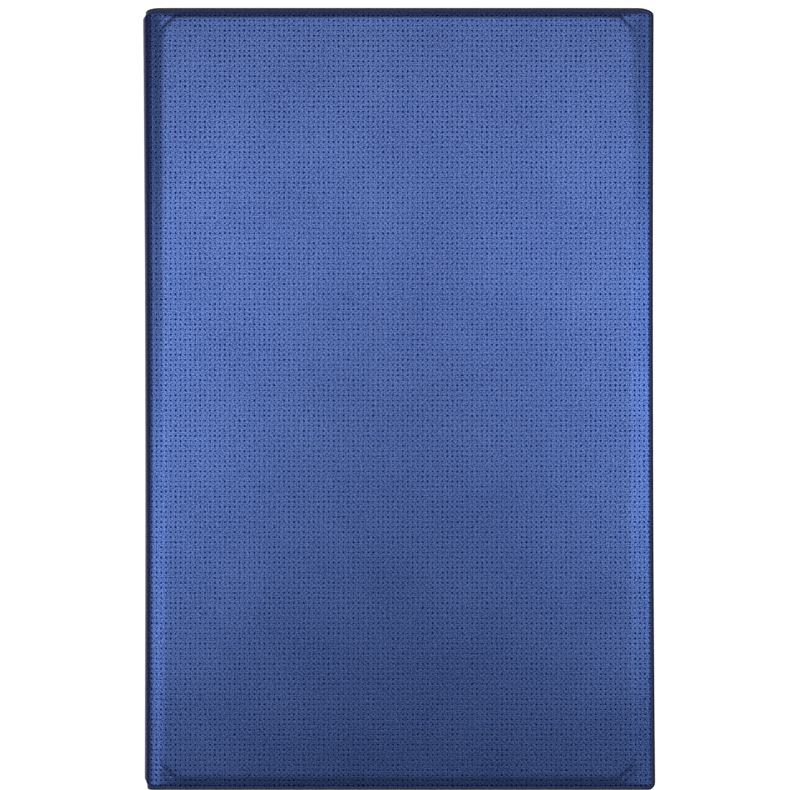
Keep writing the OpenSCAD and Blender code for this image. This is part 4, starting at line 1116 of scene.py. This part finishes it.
class CASE_OT_linings(bpy.types.Operator):
    """Lays the black microfibre inside the covers; it shows as a thin dark line all round"""

    bl_idname = "keyboard_case.linings"
    bl_label = "Linings"

    def execute(self, context):
        cover, leather = context.scene.case_cover, context.scene.case_leather
        wrap = Wrap(cover)
        sheets = (
            ("front_lining", front_columns, bend_front, ("front_cover_lining",)),
            ("spine_inner_lining", spine_columns, bend_spine,
             ("spine_lining", "anchor_strip_lining")),
            ("back_lining", back_columns, bend_flap,
             ("back_cover_lining", "stand_flap_lining")),
        )
        for name, columns, bend, nodes in sheets:
            piece = wrapped_sheet(name, wrap, cover, columns(cover, wrap, 0.0), 0.0,
                                  lining_faces(cover))
            piece.data.materials.append(once(microfibre, leather))
            if name == "back_lining":
                cut_camera_window(piece)
            bend(piece, wrap)
            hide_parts(*nodes)
        return {"FINISHED"}


def finish_all(finishes):
    """Gives each row's solids its finish."""
    for name, code, grain, depth, spread, values, drawn_and_roll_shaded, *nodes in finishes:
        finish_nodes(grained(name, linear(code), grain, depth, spread, values, drawn_and_roll_shaded), *nodes)


class CASE_OT_inner_finishes(bpy.types.Operator):
    """Gives the boards, magnets, plates, glue and tray their finishes"""

    bl_idname = "keyboard_case.inner_finishes"
    bl_label = "Inner finishes"

    def execute(self, context):
        finish_all(INNER_FINISHES)
        return {"FINISHED"}


class CASE_OT_keyboard_finishes(bpy.types.Operator):
    """Gives the keyboard's case and what lies in it their finishes"""

    bl_idname = "keyboard_case.keyboard_finishes"
    bl_label = "Keyboard finishes"

    def execute(self, context):
        finish_nodes(keyboard_plastic(context.scene.case_keyboard),
                     "keyboard_top_case", "keyboard_bottom_case")
        finish_all(KEYBOARD_FINISHES)
        return {"FINISHED"}


class CASE_OT_key_caps(bpy.types.Operator):
    """Grows the key caps of every row, with round corners and softened edges"""

    bl_idname = "keyboard_case.key_caps"
    bl_label = "Key caps"

    def execute(self, context):
        keys = context.scene.case_keyboard
        tree = key_cap_tree(keys.edge_steps)
        for node, labels in ROWS.items():
            places, width, depth = key_places(node, len(labels), keys)
            low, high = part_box(node)
            piece = grow_caps(f"{node}_caps", places, high.z, tree, {
                "Width": width, "Depth": depth, "Height": high.z - low.z,
                "Corner": keys.corner, "Edge": keys.edge,
                "Material": once(cap_plastic, keys)})
            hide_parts(node)
            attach(piece, node)
        return {"FINISHED"}


class CASE_OT_home_bumps(bpy.types.Operator):
    """Puts the small bars on the two home keys, which fingers feel for"""

    bl_idname = "keyboard_case.home_bumps"
    bl_label = "Home bumps"

    def execute(self, context):
        keys = context.scene.case_keyboard
        row = "home_letter_keys"
        places, _, depth = key_places(row, len(ROWS[row]), keys)
        from_front = 3 * MM         # from the caps' front edge to the bars
        near = [(places[i][0] + depth / 2 - from_front, places[i][1]) for i in HOME_BUMPS]
        piece = grow_caps("home_bumps", near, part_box(row)[0].z, key_cap_tree(2), {
            "Width": 3.2 * MM, "Depth": 0.6 * MM, "Height": 0.2 * MM, "Corner": 0.28 * MM,
            "Edge": 0.12 * MM, "Material": once(cap_plastic, keys)})
        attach(piece, row)
        return {"FINISHED"}


class CASE_OT_legends(bpy.types.Operator):
    """Prints the letters, numbers and words on the caps"""

    bl_idname = "keyboard_case.legends"
    bl_label = "Legends"

    def execute(self, context):
        keys = context.scene.case_keyboard
        for node, labels in ROWS.items():
            piece = print_legends(node, labels, keys)
            if piece is None:
                continue
            piece.data.materials.append(once(legend_ink, keys))
            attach(piece, node)
        return {"FINISHED"}


class CASE_OT_stage(bpy.types.Operator):
    """Sets up the floor, the soft lights, the room and the camera"""

    bl_idname = "keyboard_case.stage"
    bl_label = "Stage"

    def execute(self, context):
        scene, stage = context.scene, context.scene.case_stage
        scene.view_settings.view_transform = "Standard"
        scene.world = studio_world()
        half = 3.0                  # of the floor's width, in metres
        under = TABLE_Z - 0.1 * MM
        mesh = bpy.data.meshes.new("floor")
        mesh.from_pydata([(-half, -half, under), (half, -half, under), (half, half, under),
                          (-half, half, under)], [], [(0, 1, 2, 3)])
        mesh.materials.append(floor_paint(stage))
        floor = new_piece(mesh)
        for lamp in LAMPS:
            area_light(*lamp)
        lens = bpy.data.cameras.new("camera")
        lens.lens = 120             # in millimetres: long, for a view with little perspective
        lens.clip_start, lens.clip_end = 0.01, 20
        far = stage.view_width * lens.lens / lens.sensor_width
        scene.camera = new_piece(lens)
        scene.camera.location = (stage.aim_x, stage.aim_y, CASE_TOP - BOARD_T + far)
        return {"FINISHED"}


class CASE_PT_panel(bpy.types.Panel):
    """Lists the case's sizes, colours and pieces"""

    bl_idname = "CASE_PT_panel"
    bl_label = "Keyboard case"
    bl_space_type = "VIEW_3D"
    bl_region_type = "UI"
    bl_category = "Keyboard case"

    def draw(self, context):
        for title, name in (("Covers", "case_cover"), ("Leather", "case_leather"),
                            ("Keyboard", "case_keyboard"), ("Stage", "case_stage")):
            group = getattr(context.scene, name)
            box = self.layout.box()
            box.label(text=title)
            for key in group.__annotations__:
                box.prop(group, key)
        for operator in OPERATORS:
            self.layout.operator(operator.bl_idname)


GROUPS = {"case_cover": CoverSizes, "case_leather": LeatherSizes,
          "case_keyboard": KeyboardSizes, "case_stage": StageSettings}
OPERATORS = (CASE_OT_front_leather, CASE_OT_spine_leather, CASE_OT_back_leather,
             CASE_OT_linings, CASE_OT_inner_finishes, CASE_OT_keyboard_finishes,
             CASE_OT_key_caps, CASE_OT_home_bumps, CASE_OT_legends, CASE_OT_stage)


def register():
    for item in (*GROUPS.values(), *OPERATORS, CASE_PT_panel):
        bpy.utils.register_class(item)
    for name, group in GROUPS.items():
        setattr(bpy.types.Scene, name, PointerProperty(type=group))


def unregister():
    for name in GROUPS:
        delattr(bpy.types.Scene, name)
    for item in reversed((*GROUPS.values(), *OPERATORS, CASE_PT_panel)):
        bpy.utils.unregister_class(item)


def main():
    register()
    for operator in OPERATORS:
        group, name = operator.bl_idname.split(".")
        getattr(getattr(bpy.ops, group), name)()


if __name__ == "__main__":
    main()
